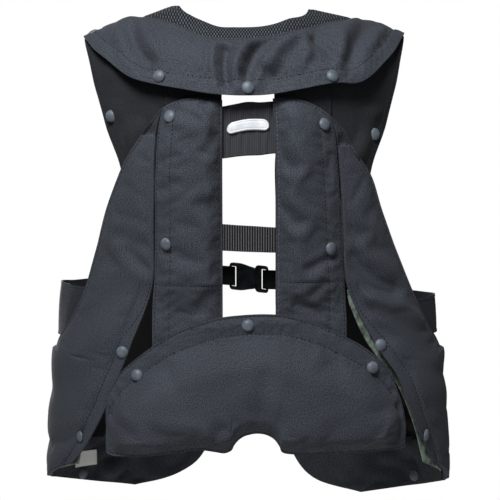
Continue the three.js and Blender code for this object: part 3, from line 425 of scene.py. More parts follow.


# knitted spacer mesh: strands round rows of deep holes, painted near black for the dark backing and the shade
# down in them, which the eye reads as a dark lattice
def spacerMesh(name, holeShade, dark, pale, pitch=2.5):  # real holes are finer; at this pitch they show
    mat, surface = newMaterial(name, Roughness=0.8, IOR=1.5, Specular_IOR_Level=0.2, Sheen_Weight=0.04)
    inputs = {"Vector": clothUv(mat), "Rotation": (0, 0, math.pi / 4)}
    slanted = addNode(mat, "ShaderNodeMapping", inputs).outputs["Vector"]
    inputs = {"Vector": slanted, "Scale": 1 / (pitch * mm), "Randomness": 0.06}
    holes = addNode(mat, "ShaderNodeTexVoronoi", inputs, voronoi_dimensions="2D").outputs["Distance"]
    color = ramped(mat, holes, [(0.33, holeShade), (0.47, dark), (0.63, pale)])
    return dress(mat, surface, color, holes, 0.4, 0.5)


# moulded or coated surfaces: an even colour with a faint grit that softens the gloss
def smoothSkin(name, dark, pale, rough, grit=0.6, relief=0.05, **shader):
    mat, surface = newMaterial(name, Roughness=rough, **shader)
    grains = grainOf(mat, objectPlace(mat), grit, 2)
    blotch = grainOf(mat, objectPlace(mat), 9, 3)
    inputs = {"Value": blotch, "To Min": rough * 0.85, "To Max": rough * 1.15}
    gloss = addNode(mat, "ShaderNodeMapRange", inputs)
    mat.node_tree.links.new(gloss.outputs[0], surface.inputs["Roughness"])
    return dress(mat, surface, ramped(mat, blotch, [(0.35, dark), (0.7, pale)]), grains, 0.3, relief)


coverNylon = wovenNylon("wovenNylonCover", "1b1e23", "4b505a")
# a darker copy of the cover cloth: painted shade for the shoulder panels and neck links under the collar
underShadeNylon = wovenNylon("wovenNylonUnder", "0f1113", "2b2e33")
insideNylon = wovenNylon("wovenNylonInside", "14171b", "484d55")
# a darker copy of the cover cloth: painted shade on the wing tips above the tuck
tipShadeNylon = wovenNylon("wovenNylonTip", "15181c", "3b3f47")
meshYarn = spacerMesh("knittedSpacerMesh", "010102", "34383e", "666c76")
# near black: painted shade on the inside of the fronts, seen through the slits
shadeLining = knittedYarn("knittedMeshBacking", "050506", "0b0c0e")
upperYarn = knittedYarn("ribbedElasticWide", "2b2c30", "44454b", ribPitch=2.2)
lowerYarn = knittedYarn("ribbedElasticNarrow", "000000", "6e6f74", ribPitch=3.0, grooveShade=0.16)
bandYarn = knittedYarn("smoothElasticBand", "20242a", "333941", 1.2, 0.6)
webbingYarn = knittedYarn("polyesterWebbing", "0d0e10", "1d1e22")
threadYarn = knittedYarn("bondedThreadDark", "060607", "0e0f11", 0.5, 0.6)
# a pale copy of the dark thread: painted light on the window edge that faces the light
threadLitPale = knittedYarn("bondedThreadPale", "4a4d54", "6d7179", 0.5, 0.6)
ribbonSatin = knittedYarn("satinRibbonLabel", "eeeeec", "fbfbfa", 0.5, 0.5)
coatedLining = smoothSkin("coatedAirbagNylon", "3c4841", "8b998f", 0.36, 0.8, 0.1, Sheen_Weight=0.05)
filmReflective = smoothSkin("reflectiveFilm", "dde1e8", "f6f8fb", 0.3, 0.5, 0.04, Coat_Weight=0.3)
acetalBlack = smoothSkin("mouldedAcetal", "22262b", "394047", 0.38, 0.4, 0.05, IOR=1.48)
enamelGrey = smoothSkin("bakedEnamelSnap", "505861", "69727c", 0.46, 0.5, 0.03, Specular_IOR_Level=0.4)
print("materials made")


# padded channels beside the spine window

channels = {
    "left": [(-30.2, -111, -100, -120), (-30.2, -150, -105, -151), (-30.2, -200, -108, -202),
             (-30.2, -260, -109, -262), (-30.2, -320, -111, -322), (-30.2, -362, -114, -368),
             (-30.2, -404, -114, -424)],
    "right": [(29, -109, 97, -130), (31, -150, 102, -158), (33, -200, 106, -205), (33, -260, 110, -264),
              (33, -320, 114, -322), (33, -362, 117, -368), (33, -404, 118, -418)],
    "lift": 4.9, "seam": 3.2, "full": 18.5, "end": 6.6, "flattens": (-322, -370),
    "wall": {"left": 15, "right": 17}, "lip": {"left": 0.5, "right": 2.5},
    "arch": {"left": 0.04, "right": 0.046}, "grid": (36, 120), "slack": 0.018, "most": 2.2,
    "edgeStitch": 3.2, "tunnelStitch": 21, "outerStitch": 3, "topStitch": 3.5,
    "crossSeam": {"left": -331, "right": -326},
    "folds": {
        "left": [([(-52, -116), (-33, -141)], 4, 3.2), ([(-84, -122), (-58, -133)], 6, 2.8),
                 ([(-33, -148), (-48, -172)], 5, 2.2), ([(-102, -217), (-81, -208)], 5, 1.7),
                 ([(-50, -232), (-38, -246)], 7, 3.0), ([(-98, -184), (-84, -176)], 5, 1.6),
                 ([(-86, -292), (-60, -300)], 8, 1.8), ([(-44, -340), (-58, -362)], 7, 2.0)],
        "right": [([(33, -160), (49, -188)], 7, 4.2), ([(34, -230), (57, -254)], 7, 4.2),
                  ([(70, -309), (100, -295)], 5, 2.6), ([(74, -342), (88, -329)], 5, 2.2),
                  ([(54, -122), (59, -200), (57, -290)], 12, -2.2), ([(60, -352), (84, -366)], 6, 1.8),
                  ([(92, -176), (90, -212)], 4, 1.0)]},
}
channelCloth = {}
for side in sides:
    c = Cloth(rowsAt(channels[side]), channels["grid"], bow=channels["arch"][side])
    flat = mix(channels["end"], channels["full"], ramp(channels["flattens"][1], channels["flattens"][0], c.z))
    wall = channels["wall"][side] + c.rough(20, 6, 8)  # how soon the filling rises from the window edge
    roll = 1 - (1 - np.clip((c.fromFirst - channels["lip"][side]) / wall, 0, 1)) ** 1.25
    body = roll * ramp(-14, 34, c.toSecond) * ramp(-6, 26, c.fromTop)
    thick = mix(channels["seam"], flat, body * ramp(-0.3, 1.1, c.toSecond) * ramp(-0.5, 2.5, c.fromTop))
    atEdge, atTunnel = c.fromFirst - channels["edgeStitch"], c.toSecond - channels["tunnelStitch"]
    thick -= 1.3 * bell(atEdge, 1.8) + 1.1 * bell(atTunnel, 1.9)
    thick -= 0.9 * bell(c.z - channels["crossSeam"][side], 1.6)
    thick -= c.folds(channels["folds"][side]) * ramp(1, 8, c.edge) - c.rough(26, 1.2, 3)
    thick += c.pucker(atEdge, 11, 0.2) + c.pucker(atTunnel, 14, 0.4)
    c.lay(channels["lift"], np.maximum(thick, thinnest))
    channelCloth[side] = c
    sewn = bell(atTunnel, 2) + bell(c.z - channels["crossSeam"][side], 2)
    fillCloth(c, sewn, channels)
    sewPiece(f"backChannel_{side}", c, coverNylon, f"back_channel_{side}")
print("channels sewn")


# side wings

wings = {
    "left": [(101, -121, 103, -122), (104, -136, 113, -135), (106, -158, 128, -156), (108, -190, 148, -190),
             (109, -235, 166, -237), (110, -285, 181, -292), (111, -324, 197, -345), (122, -362, 215, -382),
             (138, -402, 229, -405), (146, -424, 84, -418), (155, -446, 0, -424), (174, -492, 0, -480),
             (196, -534, 0, -540), (212, -556, 0, -591)],
    "right": [(98, -131, 100, -132), (101, -148, 113, -147), (104, -172, 125, -170), (107, -204, 146, -204),
              (110, -244, 160, -248), (112, -288, 177, -294), (115, -324, 198, -345), (129, -362, 216, -384),
              (150, -404, 228, -405), (162, -426, 84, -418), (173, -446, 0, -424), (190, -493, 0, -480),
              (208, -528, 0, -540), (219, -551, 0, -591)],
    "seamTurn": 92.84, "firstTurn": 9,  # rows from firstTurn on end at a turn in degrees; 0 is the side seam
    "lift": 4.9, "seam": 2.8, "full": 6.4, "hem": 15, "facing": 3.2, "seamStitch": 3.4, "gap": 0.4,
    "grid": (52, 164), "slack": 0.012, "most": 1.6,
    "ridesUp": {"left": 0, "right": 15}, "ridesAt": -468, "ridesHeight": 62,
    "tuck": {"left": -151, "right": -163},
    "folds": {
        "left": [([(-150, -340), (-190, -372), (-225, -400)], 14, 2.0),
                 ([(-170, -430), (-228, -470)], 14, 1.8), ([(-152, -200), (-142, -262)], 11, 2.0),
                 ([(-150, -276), (-114, -288)], 8, 2.6), ([(-138, -294), (-116, -313)], 7, 3.0),
                 ([(-200, -520), (-238, -540)], 9, 1.8)],
        "right": [([(118, -296), (134, -316), (150, -333), (170, -341)], 9, 6.0),
                  ([(146, -348), (174, -358), (208, -378)], 8, -4.0), ([(110, -256), (126, -274)], 7, 3.4),
                  ([(150, -240), (172, -264)], 9, 2.2), ([(160, -392), (214, -412)], 11, 2.4),
                  ([(190, -430), (236, -452)], 12, 2.0), ([(140, -300), (172, -312)], 8, -2.0)]},
}
hemDrop = {"left": -2.5, "right": 7, "from": -560, "to": -620}  # the hem hangs lower on the right


def rowsToSeam(table, side, firstTurn, seamTurn, onFront=False):
    table = np.array(table, float)
    for column in (1, 3):
        share = (table[:, column] - hemDrop["from"]) / (hemDrop["to"] - hemDrop["from"])
        table[:, column] -= hemDrop[side] * np.clip(share, 0, 1)
    turned = np.arange(len(table)) >= firstTurn
    turns = np.where(table[:, 2] == 0, seamTurn, table[:, 2])
    table[:, 2] = np.where(turned, table[:, 0], table[:, 2])
    rows = rowsAt(table * [sides[side], 1, sides[side], 1], onFront)
    rows[:, 2] = np.where(turned, sides[side] * np.radians(turns), rows[:, 2])
    return rows


wingCloth = {}
for side in sides:
    table = np.array(wings[side], float) + [wings["gap"], 0, 0, 0]
    seam = sides[side] * math.radians(wings["seamTurn"])
    c = Cloth(rowsToSeam(table, side, wings["firstTurn"], wings["seamTurn"]), wings["grid"], (0, seam))
    free = ramp(0.44, 0.52, c.v)
    hem = ramp(wings["hem"] - 3, wings["hem"] + 7, c.fromFirst)
    body = ramp(1, 16, c.toSecond) * ramp(2, 14, c.fromTop) * mix(ramp(-0.3, 1.1, c.fromFirst), hem, free)
    thick = mix(wings["seam"], wings["full"], body)
    thick -= (1.1 * bell(c.fromFirst - wings["hem"], 1.8) * free
              + 0.9 * bell(c.toSecond - wings["seamStitch"], 1.6) * ramp(0.75, 0.6, c.v))
    tuck = wings["tuck"][side]
    tucked = ramp(tuck + 17, tuck + 2, c.z) * ramp(tuck - 2, tuck + 0.5, c.z) * ramp(0.5, 4, c.edge)
    thick -= 3.4 * tucked
    rise = wings["ridesUp"][side] * bell(c.z - wings["ridesAt"], wings["ridesHeight"])
    lift = wings["lift"] + rise * (1 - c.u) ** 2
    drape = c.rough(70, 2.2, 5 + sides[side]) * ramp(2, 40, c.fromFirst) * ramp(0, 20, c.toSecond)
    dents = c.folds(wings["folds"][side]) * ramp(1, 14, c.fromFirst) * ramp(0, 30, c.toSecond)
    thick = np.maximum(thick - np.minimum(dents, thick - thinnest), thinnest)
    c.lay(lift + np.maximum(0, drape) - 2 * tucked, thick)
    wingCloth[side] = c
    fillCloth(c, free * ramp(wings["hem"] + 3, wings["hem"], c.fromFirst) + tucked, wings)
    wing = sewPiece(f"sideWing_{side}", c, coverNylon, f"side_wing_{side}")
    wing.data.materials.append(tipShadeNylon)  # the tip above the tuck takes a darker copy of the cover cloth: painted shade
    for face in wing.data.polygons:
        face.material_index = int(face.center.z > tuck * mm)
print("wings sewn")

linings = {
    "left": [(-120, -345, -175, -350), (-147, -408, -195, -412), (-180, -492, -218, -498),
             (-201, -532, -231, -540), (-207, -557, -239, -572)],
    "right": [(119, -339, 170, -350), (124, -362, 182, -372), (145, -406, 195, -412), (180, -455, 214, -458),
              (203, -512, 226, -520), (214, -556, 239, -574)],
    "lift": 2.8, "thick": 1.2, "grid": (16, 90),
    "cut": {"left": (59, 237, 105), "right": (63, 242, 94)},
}
for side in sides:
    c = Cloth(rowsAt(linings[side]), linings["grid"])
    wave = 0.6 * np.sin(c.fromTop / 13 + c.rough(30, 3)) * ramp(14, 0, c.fromFirst)
    c.lay(linings["lift"] + np.minimum(0, wave), linings["thick"])
    lining = sewPiece(f"airbagLining_{side}", c, coatedLining, f"airbag_lining_{side}")
print("linings laid")


# hip pad

hipPad = {
    "sections": [  # x, top, bottom
        (-167, -482, -536), (-164, -466, -539), (-157, -453, -541), (-147, -437, -541), (-119, -412.5, -540),
        (-88, -391.5, -535), (-58, -379, -531), (-40, -373, -532.5), (-28, -370.5, -534),
        (-19.5, -369.3, -530.5), (-16, -369, -524), (-9, -368.3, -516.5), (2, -367.5, -511.8),
        (12, -367, -510.5), (22, -367, -512.2), (31, -367.3, -517.5), (37, -367.6, -526),
        (40.5, -368, -533), (52, -370.5, -535.5), (72, -376, -537),
        (97, -387, -536), (130, -404.5, -535.5), (151, -421, -535), (166, -439, -535), (175, -461, -535),
        (181, -481, -534), (185, -500, -532)],
    "lift": 12.2, "flange": 24, "seam": 2.8, "full": 22, "edgeStitch": 2.6,
    "grid": (64, 168), "slack": 0.03, "most": 3.0,
    "folds": [([(4, -486), (30, -506)], 12, 3.2), ([(-60, -520), (-100, -515)], 9, 2.0),
              ([(-168, -488), (-130, -512)], 7, 2.2), ([(187, -483), (141, -484), (94, -507)], 9, 1.5),
              ([(22, -440), (16, -484)], 9, 2.0), ([(-30, -505), (-46, -528)], 6, 2.4),
              ([(-90, -440), (-70, -480)], 14, 1.6), ([(96, -430), (110, -470)], 14, 1.8),
              ([(150, -440), (168, -462)], 7, 2.2)],
}
table = [(x, top, x, bottom) for x, top, bottom in hipPad["sections"]]
c = hipCloth = Cloth(rowsAt(table), hipPad["grid"])
fill = ramp(hipPad["flange"] - 2, hipPad["flange"] + 46, c.fromFirst) * ramp(-3, 19, c.toSecond)
fill = fill * ramp(0, 40, c.fromTop) * ramp(0, 40, c.toEnd)
thick = mix(hipPad["seam"], hipPad["full"], fill) - c.folds(hipPad["folds"]) * ramp(3, 20, c.edge)
atFlange = c.fromFirst - hipPad["flange"]
thick -= 1.2 * bell(atFlange, 2) + 0.8 * bell(c.fromFirst - hipPad["edgeStitch"], 1.4)
thick -= 0.9 * bell(c.toSecond - hipPad["edgeStitch"], 1.6) - c.pucker(atFlange, 12, 0.6)
wave = 0.8 * np.sin(c.fromTop / 11) * bell(c.toSecond, 8)
c.lay(hipPad["lift"] + wave, np.maximum(thick + c.rough(24, 0.8, 9), thinnest))
fillCloth(c, bell(atFlange, 2.5), hipPad)
sewPiece("hipPad", c, coverNylon, "hip_pad")
print("hip pad sewn")


# collar and the mesh round the neck

collar = {
    "sections": [  # neck x, reach; seam x, reach; free edge x, reach; how far the edge stands off
        (-66, -0.74, -88, -0.78, -128, -0.9, 5), (-74, -0.5, -106, -0.56, -164, -0.7, 6),
        (-81, -0.25, -124, -0.28, -192, -0.38, 5), (-85, 0, -136, 0, -204, 0, 4.5),
        (-80, 0.22, -122, 0.18, -189, 0.37, 8), (-70, 0.33, -104, 0.31, -164, 0.62, 13),
        (-53, 0.4, -80, 0.45, -133, 0.83, 18), (-35, 0.455, -56, 0.55, -98, 0.93, 21),
        (-17, 0.46, -28, 0.58, -52, 0.99, 21), (0, 0.46, 0, 0.575, 0, 1.01, 20),
        (17, 0.455, 28, 0.55, 50, 0.98, 21), (35, 0.44, 56, 0.5, 96, 0.91, 22),
        (50, 0.4, 80, 0.42, 128, 0.86, 20), (63, 0.345, 104, 0.29, 160, 0.63, 14),
        (71, 0.24, 122, 0.17, 181, 0.38, 8), (75, 0, 134, 0, 194, 0, 4.5),
        (75, -0.25, 124, -0.28, 185, -0.38, 5), (71, -0.5, 106, -0.56, 162, -0.7, 6),
        (66, -0.74, 88, -0.78, 128, -0.9, 5)],
    "lift": 4.5, "seam": 2.4, "full": 6.5, "hem": 15, "seamStitch": 2.5,
    "grid": (34, 300), "slack": 0.03, "most": 2.6,
    "folds": [([(44, -33), (24, -47), (7, -64), (-1, -86)], 6.5, 14),
              ([(-27, -60), (-28, -76), (-25, -94)], 6, 9), ([(34, -25), (14, -42), (-3, -58)], 7, -6),
              ([(60, -38), (38, -56), (24, -76)], 7, -5), ([(82, -26), (87, -46), (91, -62)], 9, 9),
              ([(80, -30), (75, -68)], 6, 4), ([(70, -75), (92, -74)], 5, 3.5),
              ([(146, -24), (126, -51), (113, -72)], 8, 8), ([(-139, -35), (-129, -54), (-116, -72)], 8, 7),
              ([(-108, -70), (-72, -75)], 9, 2), ([(18, -82), (40, -90)], 7, 3)],
}
table = np.array(collar["sections"], float)
c = collarCloth = Cloth(rowsByReach(table[:, 2:6]), collar["grid"])
stand = alongTable(np.column_stack([np.arange(len(table)), table[:, 6]]), c.v * (len(table) - 1))[..., 0]
dents = c.folds(collar["folds"]) * ramp(0.02, 0.24, c.reach)  # smooth over the shoulder
puff = ramp(collar["hem"] - 2, collar["hem"] + 18, c.toSecond) * ramp(0, 22, c.fromFirst)
puff = puff * (1 - 0.8 * ramp(135, 165, np.abs(c.x)) * bell(c.reach, 0.4))
body = puff * ramp(0, 20, c.fromTop) * ramp(0, 20, c.toEnd)
thick = mix(collar["seam"], collar["full"], body) - dents * 0.4 * puff
atHem = c.toSecond - collar["hem"]
thick -= 1.1 * bell(atHem, 1.9) - c.pucker(atHem, 13, 0.5)
lift = mix(collar["lift"], stand, c.u ** 1.2) - np.clip(dents * 0.8, -6, 9) * ramp(0, 0.3, c.u)
lift = lift + c.rough(34, 1.6, 11) * ramp(0.3, 1, c.u) * np.where(c.reach > 0.3, 1, 0.2)
c.lay(np.maximum(lift, 3.2), np.maximum(thick, thinnest))
fillCloth(c, bell(atHem, 2.5), collar)
sewPiece("collarFlap", c, coverNylon, "collar_flap")

meshBand = {"lift": 3.5, "edge": 1.8, "pad": 3.4, "drawn": 0.2, "stands": 5.5, "clear": 0.024,
            "grid": (12, 170)}
rows = rowsByReach(table[:, 0:4])
rows[:, 2:] = mix(rows[:, 2:], rows[:, :2], meshBand["clear"])  # stops short of the collar
c = Cloth(rows, meshBand["grid"])
stand = meshBand["stands"] * (1 - c.u) * (bell(c.x + 92, 34) + bell(c.x - 50, 24))  # the neck edge stands up
c.lay(meshBand["lift"] + stand, mix(meshBand["edge"], meshBand["pad"], ramp(0, 8, c.edge)))
c.fromFirst, c.fromTop = c.x, c.z - meshBand["drawn"] * c.y  # holes are drawn out over the shoulders
sewPiece("neckMesh", c, meshYarn, "neck_mesh")
print("collar sewn")


# shoulder panels and the passages under the collar

shoulderPanels = {
    "sections": [(90, 0.005, 203, 0.005), (90, 0.25, 199, 0.27), (90, 0.5, 192, 0.53), (90, 0.8, 183, 0.82),
                 (90, 1.1, 173, 1.15), (90, 1.45, 157, 1.48), (90, 1.75, 146, 1.75)],
    "trim": {"left": (1.5, 1.5), "right": (-8.5, -2.5)}, "lift": 0.2, "thick": 1.7, "binding": 7.5,
    "bindingStitch": 6, "grid": (50, 110),
    "ridge": [(150, -128), (142, -160), (128, -196)],
    "cut": {"left": (119, 291, 268), "right": (108, 289, 244)},
}
panelCloth = {}
for side in sides:
    table = np.array(shoulderPanels["sections"])
    table[:, 2] += np.linspace(*shoulderPanels["trim"][side], len(table))
    table *= [sides[side], 1, sides[side], 1]
    c = Cloth(rowsByReach(table), shoulderPanels["grid"])
    bound = ramp(shoulderPanels["binding"] + 0.8, shoulderPanels["binding"] - 0.6, c.toSecond)
    ridge = [(sides[side] * x, z) for x, z in shoulderPanels["ridge"]]
    ridges = np.maximum(0, -c.folds([(ridge, 14, -4)]) + c.rough(32, 6, 2))
    thick = shoulderPanels["thick"] + 1.6 * bound + ridges * ramp(0, 30, c.toSecond)
    c.lay(shoulderPanels["lift"] - 0.9 * bound, thick)
    panelCloth[side] = c
    panel = sewPiece(f"shoulderPanel_{side}", c, underShadeNylon, f"shoulder_panel_{side}")

neckLinks = {"innerX": 31, "outerX": 98, "top": -66, "bottom": -132, "lift": 2.7, "thick": 1.9,
             "grid": (26, 26), "cut": (68, 68)}
for side in sides:
    s = sides[side]
    heights = np.linspace(neckLinks["top"], neckLinks["bottom"], 4)
    rows = rowsAt([(s * neckLinks["innerX"], z, s * neckLinks["outerX"], z) for z in heights])
    c = Cloth(rows, neckLinks["grid"])
    c.lay(neckLinks["lift"], neckLinks["thick"] - 0.5 * bell(c.toSecond - 4, 1.5))
    link = sewPiece(f"neckLink_{side}", c, underShadeNylon, f"neck_link_{side}")
print("shoulders laid")


# elastic across the window, and its pale tab

elastics = {
    "upper": {"rows": [(-50, -119, -181), (-31, -118, -180), (-12, -114.5, -177.5), (0, -112.5, -176.5),
                       (14, -113, -176), (31, -112, -174), (50, -112, -174)],
              "lift": 0.4, "ripple": 2.4, "ribPitch": 2.2, "ribHeight": 0.2, "yarn": upperYarn,
              "cut": (63, 88)},
    "lower": {"rows": [(-50, -257.5, -289.5), (-31, -258, -290), (0, -260, -291.5), (31, -262, -292.5),
                       (50, -262.5, -293)],
              "lift": 2.8, "ripple": 0.3, "ribPitch": 3.0, "ribHeight": 0.8, "yarn": lowerYarn,
              "cut": (30, 88)},
    "thick": 1.3, "grid": (14, 288),  # cut shorter than they lie, because they are worn stretched
}
for name in ("upper", "lower"):
    e = elastics[name]
    c = Cloth(rowsAt([(x, top, x, bottom) for x, top, bottom in e["rows"]]), elastics["grid"])
    ribs = e["ribHeight"] * (0.5 + 0.5 * np.cos(c.fromTop / e["ribPitch"] * 2 * math.pi)) ** 0.7
    gathers = [noise.noise(Vector((x / 6.5, z / 70, 4))) for x, z in zip(c.x.ravel(), c.z.ravel())]
    sway = e["ripple"] * np.array(gathers).reshape(c.x.shape) * ramp(36, 26, np.abs(c.x))
    c.lay(e["lift"] + np.clip(sway, -0.2, 1.4), elastics["thick"] - 0.3 + ribs)
    elastic = sewPiece(f"spineElastic_{name}", c, e["yarn"], f"elastic_{name}")

tab = {"half": 25, "height": 13.6, "z": -141, "stands": 1.4, "rim": 0.4, "thick": 1.9, "grid": (22, 96),
       "droop": [(-25, -4.6), (-14, -1.4), (0, 1.2), (14, 1.4), (25, 0.4)]}
shares = np.sin(np.linspace(-math.pi / 2, math.pi / 2, 25))
rows = []
for x in shares * tab["half"]:
    endCurve = max(0, abs(x) - (tab["half"] - tab["height"] / 2))
    tall = math.sqrt(max(0.4, (tab["height"] / 2) ** 2 - endCurve ** 2))
    z = tab["z"] + float(alongTable(tab["droop"], x)[0])
    rows.append((x, z + tall, x, z - tall))
c = Cloth(rowsAt(rows), tab["grid"])
rim = ramp(0, 1.6, c.edge) ** 0.5 - 0.25 * bell(c.edge - 2.6, 0.8)
c.lay(elastics["upper"]["lift"] + elastics["thick"] + tab["stands"], tab["rim"] + tab["thick"] * rim)
sewPiece("reflectiveTab", c, filmReflective, "reflective_tab")
print("elastic laid")


# front panels, side bands, care label

fronts = {
    "sections": [(90, -4, 194, -35), (84, -30, 188, -64), (68, -75, 172, -108), (46, -125, 153, -162),
                 (36, -180, 148, -215), (36, -240, 162, -270), (36, -300, 188, -325), (36, -360, 211, -376),
                 (37, -405, 227, -405), (38, -430, 102, -418), (40, -460, 0, -424), (46, -515, 0, -480),
                 (58, -575, 0, -540), (92, -609, 0, -572), (150, -622, 0, -591)],
    "seamTurn": 93.16, "firstTurn": 9,
    "lift": (0.2, 3), "thick": (2, 4), "grows": (-150, -300), "facing": -550,
    "edgeStitch": 4, "hemStitch": 12, "grid": (52, 180),
    "cut": {"left": (246, 738, 1061), "right": (246, 759, 1087)},
}
frontCloth = {}
for side in sides:
    table = np.array(fronts["sections"], float)
    seam = sides[side] * math.radians(fronts["seamTurn"])
    rows = rowsToSeam(table, side, fronts["firstTurn"], fronts["seamTurn"], True)
    c = Cloth(rows, fronts["grid"], (seam, sides[side] * math.pi))
    grown = ramp(*fronts["grows"], c.z)
    creases = 11 * (0.4 - np.abs(c.rough(34, 1.8, 24 + sides[side]))) * ramp(2, 26, c.edge)
    sway = (c.rough(60, 10, 20 + sides[side]) + creases) * ramp(-430, -560, c.z) * ramp(30, 90, c.toSecond)
    thick = mix(*fronts["thick"], grown) - 0.8 * bell(c.fromFirst - fronts["edgeStitch"], 1.6)
    thick -= 0.8 * bell(c.toEnd - fronts["hemStitch"], 1.7)
    c.lay(mix(*fronts["lift"], grown) + sway, thick)
    frontCloth[side] = c
    front = sewPiece(f"frontPanel_{side}", c, insideNylon, f"front_panel_{side}")
    front.data.materials.append(coverNylon)
    front.data.materials.append(shadeLining)
    for face in front.data.polygons:  # shell outside; inside, a near-black sheet as painted shade, down to the deep facing at the hem
        face.material_index = 1 if face.normal.y > 0 else 2 if face.center.z > fronts["facing"] * mm else 0

sideBands = {
    "left": {"top": -339, "bottom": -403, "bulge": 8.5, "cut": (65, 128)},
    "right": {"top": -354, "bottom": -400, "bulge": 5, "cut": (46, 128)},
    "turns": (60, 122), "lifts": (1.6, -0.5), "thick": 1.2, "ribPitch": 2.9, "ribHeight": 0.3,
    "bulgeTurn": 91, "bulgeWide": 9, "grid": (150, 70),
}
for side in sides:
    b = sideBands[side]
    turns = sides[side] * np.radians(np.linspace(*sideBands["turns"], 9))
    reaches = reachOf(np.array([-b["top"], -b["bottom"]], float))
    rows = np.array([(t, reaches[0], t, reaches[1]) for t in turns])
    c = Cloth(rows, sideBands["grid"])
    bulge = bell(np.degrees(np.abs(c.turn)) - sideBands["bulgeTurn"], sideBands["bulgeWide"])
    lift = mix(*sideBands["lifts"], ramp(0.4, 0.6, c.v)) + b["bulge"] * (1 - 0.55 * c.u) * bulge
    ribs = sideBands["ribHeight"] * (0.5 + 0.5 * np.cos(c.fromFirst / sideBands["ribPitch"] * 2 * math.pi))
    c.lay(lift, sideBands["thick"] + ribs + 0.5 * ramp(3.4, 2.4, np.minimum(c.fromFirst, c.toSecond)))
    band = sewPiece(f"sideBand_{side}", c, bandYarn, f"side_band_{side}")

careLabel = {"x": -212, "top": -567, "bottom": -587, "wide": 26, "lift": 1.1, "thick": 0.5,
             "grid": (16, 18), "cut": (20, 35)}
xs = careLabel["x"] + np.linspace(-0.5, 0.5, 5) * careLabel["wide"]
c = Cloth(rowsAt([(x, careLabel["top"], x, careLabel["bottom"]) for x in xs], True), careLabel["grid"])
folded = 0.2 * ramp(2.6, 1.6, c.fromFirst)
c.lay(careLabel["lift"] - 0.5 * ramp(0, 18, c.fromFirst), careLabel["thick"] + folded)
label = sewPiece("careLabel", c, ribbonSatin, "care_label")
print("fronts laid")


# buckle and straps: the CAD forms, merged and with their edges rounded

buckle = {
    "z": -343, "waist": (-12, 8), "narrows": 0.2, "mouth": (2, 9.8), "ring": (9.5, 9.2), "rounding": 0.35,
    "tilt": 0.11, "about": -8, "tiltEnds": 40, "loops": 2.2, "bars": {"left": -20.6, "right": 22.6},
}


def tilt(bm):  # the strap hangs lower on the right
    far = buckle["tiltEnds"] * mm
    for v in bm.verts:
        v.co.z -= buckle["tilt"] * float(np.clip(v.co.x - buckle["about"] * mm, -far, far))


def cadForm(node):
    bm = bmesh.new()
    bm.from_mesh(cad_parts[node].data)
    bmesh.ops.remove_doubles(bm, verts=bm.verts, dist=0.02 * mm)
    return bm


for node, name in (("buckle_socket", "buckleSocket"), ("buckle_plug", "bucklePlug")):
    bm = cadForm(node)
    bmesh.ops.dissolve_limit(bm, angle_limit=math.radians(2), verts=bm.verts, edges=bm.edges)
    for x in np.arange(buckle["waist"][0], buckle["waist"][1] + 1, 2.5):
        whole = bm.verts[:] + bm.edges[:] + bm.faces[:]
        bmesh.ops.bisect_plane(bm, geom=whole, dist=0.01 * mm, plane_co=(x * mm, 0, 0), plane_no=(1, 0, 0))
    end = max(v.co.x for v in bm.verts) / mm
    longer = buckle["mouth"][1] - end if node == "buckle_socket" else 0  # its mouth closes on the ring
    for v in bm.verts:
        waist = float(ramp(*buckle["waist"], v.co.x / mm) * ramp(*buckle["ring"], v.co.x / mm))
        v.co.x += longer * mm * float(ramp(buckle["mouth"][0], end - 0.2, v.co.x / mm))
        v.co.z = buckle["z"] * mm + (v.co.z - buckle["z"] * mm) * (1 - buckle["narrows"] * waist)
    tilt(bm)
    sharp = [e for e in bm.edges if len(e.link_faces) == 2 and e.calc_face_angle(0) > math.radians(40)]
    bmesh.ops.bevel(bm, geom=sharp, offset=buckle["rounding"] * mm, offset_type="OFFSET", affect="EDGES",
                    segments=2, profile=0.5, material=-1, clamp_overlap=True)
    finishPiece(name, bm, acetalBlack, node)
for side in sides:
    bm = cadForm(f"front_strap_{side}")
    for v in bm.verts:  # the loop round the bar is thick with its own turned end
        inside = -sides[side] * (v.co.x / mm - buckle["bars"][side])
        v.co.x -= sides[side] * buckle["loops"] * mm * float(ramp(0, 0.7, inside))
    tilt(bm)
    finishPiece(f"frontStrap_{side}", bm, webbingYarn, f"front_strap_{side}")
print("buckle made")


# snap caps: a domed cap on a thin flange, spun round its own axis

snapCap = {
    "profile": [(0, 3.6), (2.2, 3.46), (4.3, 2.96), (5.9, 2.15), (6.9, 1.25), (7.4, 0.6), (7.5, 0.3),
                (7.35, 0.05), (0, 0.05)],
    "leans": {"shoulder_panel": (0, -1.4, 0.1), "hip": (0, -1.2, 0.1), "wing_lower_left": (-0.9, 0, 0),
              "wing_lower_right": (0.9, 0, 0)},
    "seat": 0.6, "sinks": {"snap_shoulder_left": -0.9, "snap_shoulder_right": -0.9},  # off the cloth
    "steps": 40,
}
carriers = {  # the piece under a snap, by a word in its name
    "shoulder_panel": "shoulderPanel_", "channel": "backChannel_", "wing": "sideWing_",
    "front": "frontPanel_", "collar": "collarFlap", "shoulder": "collarFlap", "hip": "hipPad",
}


def carrierOf(node):
    piece = next(piece for word, piece in carriers.items() if word in node)
    return piece + node.split("_")[-1] if piece.endswith("_") else piece


def treeOf(name):
    mesh = made[name].data
    return BVHTree.FromPolygons([v.co for v in mesh.vertices], [p.vertices[:] for p in mesh.polygons])


